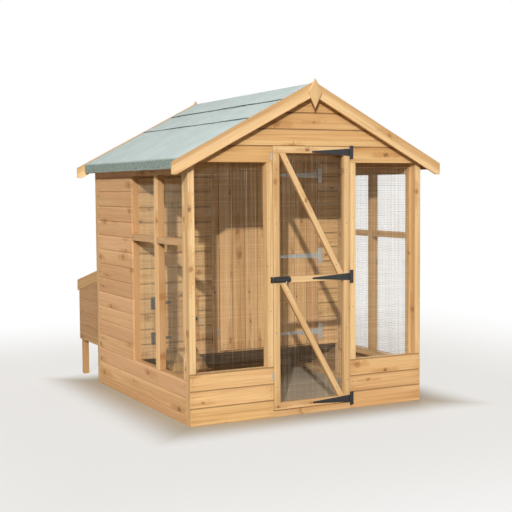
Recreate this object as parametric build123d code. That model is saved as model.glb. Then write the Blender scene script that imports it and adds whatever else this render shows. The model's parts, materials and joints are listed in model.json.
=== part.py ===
from build123d import *
import math
import os

os.makedirs("parts", exist_ok=True)

# Walk-in hen house: a netted run in front, a raised sleeping house behind, a nest box on the rear wall.
# Millimetres. X to the right, Y to the rear, Z up. While the pieces are made, y = 0 is the front face of the
# front wall; at the end everything is shifted so that the origin is the middle of the footprint.

# Overall walls
house_width = 1830.0
house_depth = 1858.0
eave_height = 1767.1
batten = 45.0
board_thick = 14.0
board_cover = 113.0
smallest_course = 40.0
scoop_height = 14.0
scoop_depth = 5.0
scoop_bow_depth = 3.6
scoop_bow_drop = 7.7
strip_width = 45.0

# Netting
net_thick = 1.5
net_wire = 4.0
net_pitch = 104.0
net_margin = 20.0

# Front wall
front_sill_top = 345.0
gable_drop = 40.1
doorway_centre = 9.5
doorway_width = 613.0
threshold_height = 41.0

# Side walls
side_sill_top = 294.0
side_rail_height = 1180.0
eave_plate_depth = 57.0

# Partition between run and house
run_depth = 1040.0
partition_bottom = 291.0
house_doorway_inset = 183.5
house_doorway_width = 882.5
house_door_strip = 62.0
house_sill_strip = 12.0
pop_hole_inset = 111.0
pop_hole_width = 360.0
courses_below_pop_hole = 1
pop_hole_courses = 3
stop_lap = 15.0

# House floor and perches
floor_thick = 14.0
joist_count = 5
perch_height = 870.0
perch_size = 45.0
perch_round = 12.0
perch_inset = 200.0
perch_count = 2
perch_seat = 18.0
perch_cheek = 16.0
perch_slack = 0.5

# Roof
roof_pitch = 27.5
deck_thick = 12.0
deck_boards = 10
felt_thick = 3.0
felt_fold = 68.0
felt_lap = 75.0
felt_ramp = 20.0
lower_lap_reach = 480.0
upper_lap_reach = 232.0
eave_overhang = 66.0
verge_overhang = 37.0
eave_batten_width = 22.0
purlin_reach = 500.0
ridge_beam_width = 45.0
ridge_beam_depth = 70.0
barge_thick = 18.0
barge_width = 86.0
barge_rise = 10.5
barge_tip = 63.0
barge_tip_height = 80.0
finial_thick = 14.0
finial_width = 109.0
finial_rise = 23.2
finial_shoulder = 70.8
finial_drop = 182.8

# Nest box
nest_width = 1220.0
nest_depth = 468.0
nest_bottom = 294.0
nest_back_height = 711.0
nest_wall_height = 812.0
nest_board = 14.0
nest_count = 4
divider_thick = 12.0
divider_drop = 60.0
courses_below_nest_hole = 1
nest_hole_courses = 3
leg_inset = 10.0
lid_depth = 90.0
lid_frame_thick = 22.0
lid_board_thick = 14.0
lid_rear_overhang = 48.0
lid_wall_gap = 3.0
lid_seat_gap = 0.3
lid_boards = 4

# Run door
door_gap = 3.0
door_thick = 32.0
door_bottom_gap = 5.0
stile_width = 50.0
top_rail = 47.0
mid_rail_low = 912.0
mid_rail = 43.0
bottom_rail = 49.0
brace_width = 46.0
brace_thick = 24.0

# House door and pop door
house_door_boards = 8
vee_cut = 3.0
ledge_height = 95.0
ledge_thick = 22.0
ledge_inset = 60.0
house_ledge_rise = 117.0
house_ledge_middle = 1015.0
house_ledge_drop = 120.0
pop_batten_width = 45.0
pop_batten_thick = 20.0
pop_batten_inset = 35.0
pop_knob_inset = 30.0
pop_knob_profile = ((7.5, 0.0), (7.5, 10.0), (15.0, 13.0), (12.0, 26.0))

# Hinges and fittings
pin_radius = 3.0
pin_clearance = 0.06
knuckle_radius = 5.6
knuckle_gap = 0.5
leaf_gap = 0.4
leaf_thick = 3.0
run_plate_width = 26.0
run_plate_height = 92.0
run_strap_length = 305.0
run_strap_root = 50.0
run_strap_tip = 12.0
run_hinge_drop = 40.0
run_hinge_above_rail = 22.0
run_hinge_rise = 30.0
house_plate_width = 36.0
house_plate_height = 122.0
house_strap_length = 350.0
house_strap_root = 46.0
house_strap_tip = 20.0
house_hinge_drop = 104.0
house_hinge_middle = 1014.0
house_hinge_rise = 97.0
pop_plate_width = 30.0
pop_plate_height = 92.0
pop_strap_length = 140.0
pop_strap_root = 34.0
pop_strap_tip = 14.0
pop_hinge_inset = 38.0
lid_leaf_width = 38.0
lid_leaf_height = 70.0
lid_knuckle = 23.0
lid_hinge_count = 3
lid_hinge_inset = 150.0
button_length = 48.0
button_end = 7.0
button_waist = 4.5
button_thick = 3.0
button_lift = 0.3
button_offset = 9.0
screw_radius = 2.0
screw_clearance = 0.06
screw_depth = 10.0
screw_head_radius = 4.6
screw_head_height = 2.2
run_button_rise = 38.0
run_button_drop = 65.0
house_button_height = 452.0
pop_button_height = 545.0
bolt_above_rail = 24.0
bolt_case_length = 124.0
bolt_case_width = 42.0
bolt_plate = 2.0
bolt_tower_width = 26.0
bolt_tower_rise = 15.0
bolt_radius = 5.0
bolt_clearance = 0.08
bolt_axis = 8.5
bolt_inset = 3.0
bolt_travel = 22.0
bolt_spare = 14.0
bolt_knob_at = 92.0
bolt_knob_radius = 3.5
bolt_knob_drop = 26.0
bolt_slot_slack = 0.5
keep_length = 19.0
keep_bore = 12.0

# Planes that follow from the sizes above
panel = board_thick + batten
half_width = house_width / 2
inner_x = half_width - panel
post_x = half_width - batten
clad_x = half_width - board_thick
rear_frame_y = house_depth - panel
rear_clad_y = house_depth - board_thick
partition_rear = run_depth + panel
slope = math.tan(math.radians(roof_pitch))
cosine = math.cos(math.radians(roof_pitch))
deck_rise = deck_thick / cosine
felt_rise = felt_thick / cosine
ridge_height = eave_height + slope * half_width
gable_bottom = eave_height - gable_drop
rafter_drop = batten / cosine
eave_x = half_width + eave_overhang
doorway_left = doorway_centre - doorway_width / 2
doorway_right = doorway_centre + doorway_width / 2
doorway_head = gable_bottom + board_cover
side_window_courses = math.floor((eave_height - eave_plate_depth - side_sill_top) / board_cover)
side_head = side_sill_top + side_window_courses * board_cover
house_doorway_right = inner_x - house_doorway_inset
house_doorway_left = house_doorway_right - house_doorway_width
house_doorway_low = partition_bottom + house_sill_strip
house_head_limit = ridge_height - slope * (house_doorway_right + batten) - rafter_drop - batten
house_doorway_courses = math.floor((house_head_limit - partition_bottom) / board_cover)
house_doorway_head = partition_bottom + house_doorway_courses * board_cover
pop_hole_left = pop_hole_inset - inner_x
pop_hole_right = pop_hole_left + pop_hole_width
pop_hole_low = partition_bottom + courses_below_pop_hole * board_cover
pop_hole_head = pop_hole_low + pop_hole_courses * board_cover
floor_under = partition_bottom + batten
floor_top = floor_under + floor_thick
nest_left = -half_width
nest_right = nest_left + nest_width
nest_rear = house_depth + nest_depth
nest_hole_low = front_sill_top + courses_below_nest_hole * board_cover
nest_hole_head = nest_hole_low + nest_hole_courses * board_cover
lid_slope = (nest_wall_height - nest_back_height) / nest_depth
lid_angle = math.atan(lid_slope)
pin_offset = knuckle_radius + leaf_gap
finial_front = -verge_overhang - barge_thick - finial_thick
lid_rear = nest_rear + lid_rear_overhang
front_shift = -(finial_front + lid_rear) / 2


def block(x, y, z):
    """A square-cut timber or plate between two faces on each axis."""
    centre = Pos((x[0] + x[1]) / 2, (y[0] + y[1]) / 2, (z[0] + z[1]) / 2)
    return centre * Box(x[1] - x[0], y[1] - y[0], z[1] - z[0])


def prism_y(outline, y):
    """An x-z outline carried along y."""
    face = Face(Wire.make_polygon([(px, y[0], pz) for px, pz in outline]))
    return Solid.extrude(face, Vector(0, y[1] - y[0], 0))


def prism_x(outline, x):
    """A y-z outline carried along x."""
    face = Face(Wire.make_polygon([(x[0], py, pz) for py, pz in outline]))
    return Solid.extrude(face, Vector(x[1] - x[0], 0, 0))


def prism_z(outline, z):
    """An x-y outline carried along z."""
    face = Face(Wire.make_polygon([(px, py, z[0]) for px, py in outline]))
    return Solid.extrude(face, Vector(0, 0, z[1] - z[0]))


def sided(side, near, far):
    """An x interval on the left (side -1) or the right (side 1) of the middle."""
    return tuple(sorted((side * near, side * far)))


def roof_under(x):
    """Height of the underside of the roof deck."""
    return ridge_height - slope * abs(x)


def below_roof(drop):
    """Everything below a surface that lies the drop under the roof deck."""
    reach = half_width + batten
    low = roof_under(reach) - drop
    outline = [(-reach, -batten), (reach, -batten), (reach, low), (0, ridge_height - drop), (-reach, low)]
    return prism_y(outline, (-batten, house_depth + batten))


under_deck = below_roof(0)
under_rafters = below_roof(rafter_drop)


def one_solid(shape):
    """The single solid left by a cut."""
    return shape.solids()[0]


def courses(low, high, line):
    """Board heights between low and high, with a board edge at the given line."""
    first = math.ceil((low - line) / board_cover)
    last = math.floor((high - line) / board_cover)
    edges = [line + k * board_cover for k in range(first, last + 1)]
    edges = [z for z in edges if low + smallest_course < z < high - smallest_course]
    edges = [low] + edges + [high]
    return list(zip(edges[:-1], edges[1:]))


def clear_spans(span, holes, course):
    """The lengths of one course that are left beside the holes it meets."""
    spans = [span]
    middle = (course[0] + course[1]) / 2
    for hole_span, hole_height in holes:
        if hole_height[0] < middle < hole_height[1]:
            cut = []
            for low, high in spans:
                cut.append((low, min(high, hole_span[0])))
                cut.append((max(low, hole_span[1]), high))
            spans = [piece for piece in cut if piece[1] > piece[0]]
    return spans


def shiplap(place, course, along):
    """One shiplap board: a flat face with a hollow scoop along its top edge."""
    low, high = course
    shoulder = place(0, high - scoop_height)
    hollow = place(scoop_bow_depth, high - scoop_bow_drop)
    lip = place(scoop_depth, high)
    back_top = place(board_thick, high)
    back_low = place(board_thick, low)
    foot = place(0, low)
    edges = [
        Edge.make_line(foot, shoulder),
        Edge.make_three_point_arc(shoulder, hollow, lip),
        Edge.make_line(lip, back_top),
        Edge.make_line(back_top, back_low),
        Edge.make_line(back_low, foot),
    ]
    return Solid.extrude(Face(Wire(edges)), along)


def board_across(face_y, inward, x, course):
    """A shiplap board that runs along x; inward is 1 where its face looks to the front."""
    def place(depth, height):
        return Vector(x[0], face_y + inward * depth, height)
    return shiplap(place, course, Vector(x[1] - x[0], 0, 0))


def board_along(side, y, course):
    """A shiplap board that runs along y on a side wall."""
    def place(depth, height):
        return Vector(side * (half_width - depth), y[0], height)
    return shiplap(place, course, Vector(0, y[1] - y[0], 0))


def net(span, height):
    """A flat panel of netting in the x-z plane, one face with rows of square gaps."""
    width = span[1] - span[0]
    tall = height[1] - height[0]
    columns = max(1, round(width / net_pitch))
    rows = max(1, round(tall / net_pitch))
    step_x = (width - net_wire) / columns
    step_z = (tall - net_wire) / rows

    def ring(x0, x1, z0, z1):
        return Wire.make_polygon([(x0, 0, z0), (x1, 0, z0), (x1, 0, z1), (x0, 0, z1)])

    gaps = []
    for column in range(columns):
        for row in range(rows):
            x0 = span[0] + net_wire + column * step_x
            z0 = height[0] + net_wire + row * step_z
            gaps.append(ring(x0, x0 + step_x - net_wire, z0, z0 + step_z - net_wire))
    sheet = Face(ring(span[0], span[1], height[0], height[1]), gaps)
    return Solid.extrude(sheet, Vector(0, net_thick, 0))


nodes = {}


def keep(name, solids):
    """File the solids of one node."""
    nodes[name] = [one_solid(solid) for solid in solids]


def rafters(y, reach):
    """The two sloping top rails of a gable."""
    pair = []
    for side in (-1, 1):
        foot = roof_under(reach)
        outline = [
            (side * reach, foot),
            (0, ridge_height),
            (0, ridge_height - rafter_drop),
            (side * reach, foot - rafter_drop),
        ]
        pair.append(prism_y(outline, y))
    return pair


# Front wall
def front_wall():
    y = (board_thick, panel)
    left_jamb = (doorway_left - batten, doorway_left)
    right_jamb = (doorway_right, doorway_right + batten)
    bays = ((-post_x, left_jamb[0]), (right_jamb[1], post_x))
    frame = rafters(y, half_width)
    for side in (-1, 1):
        post = block(sided(side, post_x, half_width), y, (0, ridge_height))
        frame.append(post & under_rafters)
    for jamb in (left_jamb, right_jamb):
        frame.append(block(jamb, y, (0, doorway_head)))
        frame.append(block(jamb, y, (doorway_head + batten, ridge_height)) & under_rafters)
    frame.append(block((left_jamb[0], right_jamb[1]), y, (doorway_head, doorway_head + batten)))
    for bay in bays:
        frame.append(block(bay, y, (0, batten)))
        frame.append(block(bay, y, (front_sill_top - batten, front_sill_top)))
        frame.append(block(bay, y, (gable_bottom, gable_bottom + batten)) & under_rafters)
    keep("front_frame", frame)

    strips = []
    faces = (
        (-half_width, -half_width + strip_width),
        (doorway_left - strip_width, doorway_left),
        (doorway_right, doorway_right + strip_width),
        (half_width - strip_width, half_width),
    )
    for face in faces:
        strips.append(block(face, (0, board_thick), (front_sill_top, gable_bottom)))
    keep("front_cover_strips", strips)

    skirt = []
    for span in ((-half_width, doorway_left), (doorway_right, half_width)):
        for course in courses(0, front_sill_top, front_sill_top):
            skirt.append(board_across(0, 1, span, course))
    keep("front_skirt_boards", skirt)

    gable = []
    doorway = ((doorway_left, doorway_right), (0, doorway_head))
    for course in courses(gable_bottom, ridge_height, gable_bottom):
        for span in clear_spans((-half_width, half_width), [doorway], course):
            gable.append(board_across(0, 1, span, course) & under_deck)
    keep("front_gable_boards", gable)

    nets = []
    net_z = (front_sill_top - net_margin, gable_bottom + net_margin)
    for span in ((-inner_x, left_jamb[0] + net_margin), (right_jamb[1] - net_margin, inner_x)):
        nets.append(Pos(0, panel, 0) * net(span, net_z))
    keep("front_nets", nets)

    threshold = block((doorway_left, doorway_right), (0, panel), (0, threshold_height))
    keep("door_threshold", [threshold])


# Side walls
def side_wall(side, name):
    x = sided(side, inner_x, clad_x)
    strip_x = sided(side, clad_x, half_width)
    window = (panel + batten, run_depth)
    mullion_y = ((window[0] + window[1] - batten) / 2, (window[0] + window[1] + batten) / 2)
    rail_z = (side_rail_height, side_rail_height + batten)
    plate_low = roof_under(half_width) - eave_plate_depth
    back_bay = (run_depth + batten, rear_frame_y - batten)
    panes = ((window[0], mullion_y[0]), (mullion_y[1], window[1]))

    frame = [block(x, (panel, rear_frame_y), (0, batten))]
    for y in ((panel, window[0]), (window[1], window[1] + batten), (back_bay[1], rear_frame_y)):
        frame.append(block(x, y, (batten, plate_low)))
    frame.append(block(x, window, (side_sill_top - batten, side_sill_top)))
    frame.append(block(x, window, (side_head, plate_low)))
    frame.append(block(x, mullion_y, (side_sill_top, side_head)))
    for pane in panes:
        frame.append(block(x, pane, rail_z))
    frame.append(block(x, back_bay, (floor_top - batten, floor_top)))
    frame.append(block(x, back_bay, (perch_height - batten, perch_height)))
    outline = [
        (side * clad_x, plate_low),
        (side * inner_x, plate_low),
        (side * inner_x, roof_under(inner_x)),
        (side * clad_x, roof_under(clad_x)),
    ]
    frame.append(prism_y(outline, (panel, rear_frame_y)))
    keep(name + "_frame", frame)

    strips = [block(strip_x, (panel, panel + strip_width), (side_sill_top, side_head))]
    middle = (window[0] + window[1]) / 2
    centre_strip = (middle - strip_width / 2, middle + strip_width / 2)
    strips.append(block(strip_x, centre_strip, (side_sill_top, side_head)))
    for y in ((panel + strip_width, centre_strip[0]), (centre_strip[1], run_depth)):
        strips.append(block(strip_x, y, rail_z))

    boards = []
    for course in courses(0, side_sill_top, side_sill_top):
        boards.append(board_along(side, (panel, rear_frame_y), course))
    for course in courses(side_sill_top, side_head, side_sill_top):
        boards.append(board_along(side, (run_depth, rear_frame_y), course))
    top_course = (side_head, roof_under(half_width) + scoop_height)
    boards.append(board_along(side, (panel, rear_frame_y), top_course) & under_deck)
    keep(name + "_boards", boards)
    net_z = (side_sill_top - net_margin, side_head + net_margin)
    netting = Rot(0, 0, 90) * net((window[0] - net_margin, window[1]), net_z)
    net_face = max(side * inner_x, side * (inner_x - net_thick))
    return strips, Pos(net_face, 0, 0) * netting


# Rear wall
def rear_wall():
    y = (rear_frame_y, rear_clad_y)
    between = (-post_x, post_x)
    tie = (gable_bottom, gable_bottom + batten)
    stud = (nest_right, nest_right + batten)
    middle_stud = (-batten / 2, batten / 2)
    frame = rafters(y, half_width)
    for side in (-1, 1):
        post = block(sided(side, post_x, half_width), y, (0, ridge_height))
        frame.append(post & under_rafters)
    frame.append(block(between, y, (0, batten)))
    frame.append(block(between, y, (partition_bottom, floor_under)))
    frame.append(block(between, y, tie) & under_rafters)
    frame.append(block((-post_x, stud[0]), y, (nest_hole_low - batten, nest_hole_low)))
    frame.append(block((-post_x, stud[0]), y, (nest_hole_head, nest_hole_head + batten)))
    frame.append(block(stud, y, (floor_under, tie[0])))
    frame.append(block(middle_stud, y, (nest_hole_head + batten, tie[0])))
    frame.append(block(middle_stud, y, (tie[1], ridge_height)) & under_rafters)
    keep("rear_frame", frame)

    boards = []
    nest_hole = ((-post_x, stud[0]), (nest_hole_low, nest_hole_head))
    for course in courses(0, ridge_height, front_sill_top):
        for span in clear_spans((-half_width, half_width), [nest_hole], course):
            boards.append(board_across(house_depth, -1, span, course) & under_deck)
    keep("rear_boards", boards)


# Partition, house floor and perches
def partition():
    y = (run_depth + board_thick, partition_rear)
    clad_y = (run_depth, run_depth + board_thick)
    edge = batten - stop_lap
    pop_left = (pop_hole_left - edge, pop_hole_left + stop_lap)
    pop_right = (pop_hole_right - stop_lap, pop_hole_right + edge)
    door_left = (house_doorway_left - edge, house_doorway_left + stop_lap)
    door_right = (house_doorway_right - stop_lap, house_doorway_right + edge)
    head = (house_doorway_head - stop_lap, house_doorway_head + edge)
    pop_head = (pop_hole_head - stop_lap, pop_hole_head + edge)
    pop_sill = (pop_hole_low - edge, pop_hole_low + stop_lap)
    frame = rafters(y, inner_x)
    frame.append(block((-inner_x, inner_x), y, (partition_bottom, floor_under)))
    for x in (pop_left, pop_right):
        frame.append(block(x, y, (floor_under, pop_head[0])))
    frame.append(block((pop_left[0], pop_right[1]), y, pop_head))
    frame.append(block((pop_left[1], pop_right[0]), y, pop_sill))
    for x in ((-inner_x, pop_left[0]), (inner_x - batten, inner_x)):
        frame.append(block(x, y, (floor_under, ridge_height)) & under_rafters)
    for x in (door_left, door_right):
        frame.append(block(x, y, (floor_under, head[0])))
    frame.append(block((door_left[0], door_right[1]), y, head))
    for x in (door_left, door_right):
        frame.append(block(x, y, (head[1], ridge_height)) & under_rafters)
    keep("partition_frame", frame)

    boards = []
    doorway = (
        (house_doorway_left - house_door_strip, house_doorway_right),
        (partition_bottom, house_doorway_head),
    )
    pop_hole = ((pop_hole_left, pop_hole_right), (pop_hole_low, pop_hole_head))
    for course in courses(partition_bottom, ridge_height, partition_bottom):
        for span in clear_spans((-inner_x, inner_x), [doorway, pop_hole], course):
            boards.append(board_across(run_depth, 1, span, course) & under_deck)
    strip_x = (house_doorway_left - house_door_strip, house_doorway_left)
    boards.append(block(strip_x, clad_y, (partition_bottom, house_doorway_head)))
    sill_x = (house_doorway_left, house_doorway_right)
    boards.append(block(sill_x, clad_y, (partition_bottom, house_doorway_low)))
    keep("partition_boards", boards)


def house_floor():
    joists = []
    pitch = (2 * inner_x - batten) / (joist_count - 1)
    joist_y = (partition_rear, rear_frame_y)
    joist_z = (partition_bottom, floor_under)
    for k in range(joist_count):
        x = -inner_x + k * pitch
        joists.append(block((x, x + batten), joist_y, joist_z))
    keep("floor_joists", joists)
    count = round((rear_frame_y - partition_rear) / board_cover)
    width = (rear_frame_y - partition_rear) / count
    boards = []
    for k in range(count):
        y = partition_rear + k * width
        boards.append(block((-inner_x, inner_x), (y, y + width), (floor_under, floor_top)))
    keep("floor_boards", boards)


def perches():
    bars = []
    cleats = []
    reach = rear_frame_y - partition_rear - 2 * perch_inset
    bar_z = perch_height - perch_seat
    for k in range(perch_count):
        y = partition_rear + perch_inset + k * reach / (perch_count - 1)
        bar_y = (y - perch_size / 2, y + perch_size / 2)
        bar = block((-inner_x, inner_x), bar_y, (bar_z, bar_z + perch_size))
        bars.append(fillet(bar.edges().filter_by(Axis.X).sort_by(Axis.Z)[-2:], perch_round))
        half = perch_size / 2 + perch_slack
        for side in (-1, 1):
            x = sided(side, inner_x - perch_cheek, inner_x)
            outline = [
                (y - half - perch_cheek, bar_z - perch_cheek),
                (y + half + perch_cheek, bar_z - perch_cheek),
                (y + half + perch_cheek, bar_z + perch_seat),
                (y + half, bar_z + perch_seat),
                (y + half, bar_z),
                (y - half, bar_z),
                (y - half, bar_z + perch_seat),
                (y - half - perch_cheek, bar_z + perch_seat),
            ]
            cleats.append(prism_x(outline, x))
    keep("perches", bars)
    keep("perch_cleats", cleats)


# Roof
def roof():
    boards = []
    eave_battens = []
    y = (-verge_overhang, house_depth + verge_overhang)
    width = eave_x / deck_boards
    for side in (-1, 1):
        for k in range(deck_boards):
            near = k * width
            far = near + width
            outline = [
                (side * near, roof_under(near)),
                (side * far, roof_under(far)),
                (side * far, roof_under(far) + deck_rise),
                (side * near, roof_under(near) + deck_rise),
            ]
            boards.append(prism_y(outline, y))
        inside = eave_x - eave_batten_width
        low = roof_under(eave_x) + deck_rise + felt_rise - felt_fold
        outline = [
            (side * inside, low),
            (side * eave_x, low),
            (side * eave_x, roof_under(eave_x)),
            (side * inside, roof_under(inside)),
        ]
        eave_battens.append(prism_y(outline, y))
    keep("roof_boards", boards)
    keep("eave_battens", eave_battens)

    purlins = []
    ridge = []
    for bay in ((panel, run_depth), (partition_rear, rear_frame_y)):
        half = batten * cosine / 2
        for side in (-1, 1):
            near = purlin_reach - half
            far = purlin_reach + half
            outline = [
                (side * near, roof_under(near)),
                (side * far, roof_under(far)),
                (side * far, roof_under(far) - rafter_drop),
                (side * near, roof_under(near) - rafter_drop),
            ]
            purlins.append(prism_y(outline, bay))
        half = ridge_beam_width / 2
        outline = [
            (-half, ridge_height - ridge_beam_depth),
            (half, ridge_height - ridge_beam_depth),
            (half, roof_under(half)),
            (0, ridge_height),
            (-half, roof_under(half)),
        ]
        ridge.append(prism_y(outline, bay))
    keep("purlins", purlins)
    keep("ridge_beam", ridge)


def deck_top(x):
    return roof_under(x) + deck_rise


def felt():
    y = (-verge_overhang, house_depth + verge_overhang)
    for side, name in ((-1, "left"), (1, "right")):
        def at(x, layers):
            return (side * x, deck_top(x) + layers * felt_rise)

        edge = eave_x + felt_thick
        low = deck_top(eave_x) + felt_rise - felt_fold
        top = lower_lap_reach - felt_lap
        lower = [
            (side * eave_x, low),
            (side * edge, low),
            (side * edge, deck_top(edge) + felt_rise),
            at(top, 1),
            at(top, 0),
            at(eave_x, 0),
        ]
        inner = upper_lap_reach - felt_lap
        upper = [
            at(lower_lap_reach, 1),
            at(lower_lap_reach, 2),
            at(top, 2),
            at(top - felt_ramp, 1),
            at(inner, 1),
            at(inner, 0),
            at(top - felt_ramp, 0),
            at(top, 1),
        ]
        keep("felt_" + name, [prism_y(lower, y), prism_y(upper, y)])
    inner = upper_lap_reach - felt_lap
    outer_line = [(upper_lap_reach, 2), (inner, 2), (inner - felt_ramp, 1)]
    inner_line = [(inner - felt_ramp, 0), (inner, 1), (upper_lap_reach, 1)]
    right_top = [(x, deck_top(x) + n * felt_rise) for x, n in outer_line]
    right_low = [(x, deck_top(x) + n * felt_rise) for x, n in inner_line]
    left_top = [(-x, z) for x, z in reversed(right_top)]
    left_low = [(-x, z) for x, z in reversed(right_low)]
    crown = [(0, deck_top(0) + felt_rise)]
    hollow = [(0, deck_top(0))]
    keep("felt_ridge_cap", [prism_y(right_top + crown + left_top + left_low + hollow + right_low, y)])


def barges():
    boards = []
    diamonds = []
    crest = ridge_height + deck_rise + felt_rise + barge_rise
    foot = crest - barge_width / cosine
    tip = eave_x + felt_thick + barge_tip
    tip_top = crest - slope * tip
    tip_low = tip_top - barge_tip_height
    heel = (foot - tip_low) / slope
    front = -verge_overhang - barge_thick
    rear = house_depth + verge_overhang
    for y in ((front, front + barge_thick), (rear, rear + barge_thick)):
        for side in (-1, 1):
            outline = [
                (0, crest),
                (side * tip, tip_top),
                (side * tip, tip_low),
                (side * heel, tip_low),
                (0, foot),
            ]
            boards.append(prism_y(outline, y))
    half = finial_width / 2
    waist = crest - finial_shoulder
    kite = [(0, crest + finial_rise), (half, waist), (0, crest - finial_drop), (-half, waist)]
    for y in ((front - finial_thick, front), (rear + barge_thick, rear + barge_thick + finial_thick)):
        diamonds.append(prism_y(kite, y))
    keep("bargeboards", boards)
    keep("finials", diamonds)


# Nest box
def lid_under(y):
    """Height of the sloping top edge of the nest box walls."""
    return nest_wall_height - lid_slope * (y - house_depth)


def nest_box():
    inside = (nest_left + nest_board, nest_right - nest_board)
    base_top = nest_bottom + nest_board
    keep("nest_floor", [block((nest_left, nest_right), (house_depth, nest_rear), (nest_bottom, base_top))])
    walls = []
    back_y = (nest_rear - nest_board, nest_rear)
    slope_outline = [
        (house_depth, nest_bottom),
        (nest_rear, nest_bottom),
        (nest_rear, lid_under(nest_rear)),
        (house_depth, lid_under(house_depth)),
    ]
    under_lid = prism_x(slope_outline, (nest_left, nest_right))
    for x in ((nest_left, inside[0]), (inside[1], nest_right)):
        for course in courses(base_top, nest_wall_height, base_top):
            walls.append(block(x, (house_depth, nest_rear), course) & under_lid)
    for course in courses(base_top, lid_under(back_y[1]), base_top):
        walls.append(block(inside, back_y, course))
    keep("nest_walls", walls)
    dividers = []
    pitch = (inside[1] - inside[0]) / nest_count
    for k in range(1, nest_count):
        x = inside[0] + k * pitch
        outline = [
            (house_depth, base_top),
            (back_y[0], base_top),
            (back_y[0], lid_under(back_y[0]) - divider_drop),
            (house_depth, lid_under(house_depth) - divider_drop),
        ]
        dividers.append(prism_x(outline, (x - divider_thick / 2, x + divider_thick / 2)))
    keep("nest_dividers", dividers)
    legs = []
    leg_y = (nest_rear - leg_inset - batten, nest_rear - leg_inset)
    for x in ((inside[0], inside[0] + batten), (inside[1] - batten, inside[1])):
        legs.append(block(x, leg_y, (0, nest_bottom)))
    keep("nest_legs", legs)


def nest_lid():
    front = house_depth + lid_wall_gap
    span = (nest_left, nest_right)

    def low(y):
        return lid_under(y) + lid_seat_gap

    def high(y):
        return lid_under(y) + lid_depth - lid_board_thick / math.cos(lid_angle)

    def top(y):
        return lid_under(y) + lid_depth

    frame = []
    for x in ((span[0], span[0] + lid_frame_thick), (span[1] - lid_frame_thick, span[1])):
        outline = [
            (front, low(front)),
            (lid_rear, low(lid_rear)),
            (lid_rear, high(lid_rear)),
            (front, high(front)),
        ]
        frame.append(prism_x(outline, x))
    between = (span[0] + lid_frame_thick, span[1] - lid_frame_thick)
    for y in ((front, front + lid_frame_thick), (lid_rear - lid_frame_thick, lid_rear)):
        outline = [(y[0], low(y[0])), (y[1], low(y[1])), (y[1], high(y[1])), (y[0], high(y[0]))]
        frame.append(prism_x(outline, between))
    keep("lid_frame", frame)
    boards = []
    width = (lid_rear - front) / lid_boards
    for k in range(lid_boards):
        y = (front + k * width, front + (k + 1) * width)
        outline = [(y[0], high(y[0])), (y[1], high(y[1])), (y[1], top(y[1])), (y[0], top(y[0]))]
        boards.append(prism_x(outline, span))
    keep("lid_boards", boards)


# Hinges
def barrel(low, high, radius):
    return Pos(0, 0, (low + high) / 2) * Cylinder(radius, high - low)


def leaf(flat, knuckles):
    """A hinge leaf: a flat plate, with knuckles rolled round the pin on the local Z axis."""
    body = flat
    clear_x = knuckle_radius + knuckle_gap
    for low, high in knuckles:
        tab = block((0, clear_x + knuckle_gap), (pin_offset - leaf_thick, pin_offset), (low, high))
        body = body + tab + barrel(low, high, knuckle_radius)
    for low, high in knuckles:
        body = body - barrel(low - knuckle_gap, high + knuckle_gap, pin_radius + pin_clearance)
    return one_solid(body)


def leaf_plate(width, height):
    """The flat of a square leaf, clear of the knuckles."""
    x = (knuckle_radius + knuckle_gap, width)
    return block(x, (pin_offset - leaf_thick, pin_offset), (-height / 2, height / 2))


def outer_knuckles(height, middle):
    return ((-height / 2, -middle / 2), (middle / 2, height / 2))


def fixed_leaf(width, height, middle):
    """The square leaf that stays on the frame, with a knuckle at each end."""
    return leaf(leaf_plate(width, height), outer_knuckles(height, middle))


def strap_leaf(length, root, tip):
    """The long tapered leaf of a T-hinge, with a rounded tip and one middle knuckle."""
    start = knuckle_radius + knuckle_gap
    end = length - tip / 2
    edges = [
        Edge.make_line((start, 0, -root / 2), (end, 0, -tip / 2)),
        Edge.make_three_point_arc((end, 0, -tip / 2), (length, 0, 0), (end, 0, tip / 2)),
        Edge.make_line((end, 0, tip / 2), (start, 0, root / 2)),
        Edge.make_line((start, 0, root / 2), (start, 0, -root / 2)),
    ]
    flat = Pos(0, pin_offset - leaf_thick, 0) * Solid.extrude(Face(Wire(edges)), Vector(0, leaf_thick, 0))
    half = root / 2 - knuckle_gap
    return leaf(flat, ((-half, half),))


def facing(pin, reach, barrel_axis):
    """A place with its X axis along the leaf and its Z axis along the pin."""
    return Location(Plane(origin=pin, x_dir=reach, z_dir=barrel_axis))


pins = []


def tee_hinges(heights, pin_x, face_y, side, plate_width, plate_height, length, root, tip):
    """T-hinges on an upright pin in front of a wall face; side is 1 where the strap reaches to the left."""
    plates = []
    straps = []
    for height in heights:
        pin = (pin_x, face_y - pin_offset, height)
        right = facing(pin, (1, 0, 0), (0, 0, 1))
        left = facing(pin, (-1, 0, 0), (0, 0, -1))
        plates.append((right if side > 0 else left) * fixed_leaf(plate_width, plate_height, root))
        straps.append((left if side > 0 else right) * strap_leaf(length, root, tip))
        pins.append(right * barrel(-plate_height / 2, plate_height / 2, pin_radius))
    return plates, straps


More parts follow.
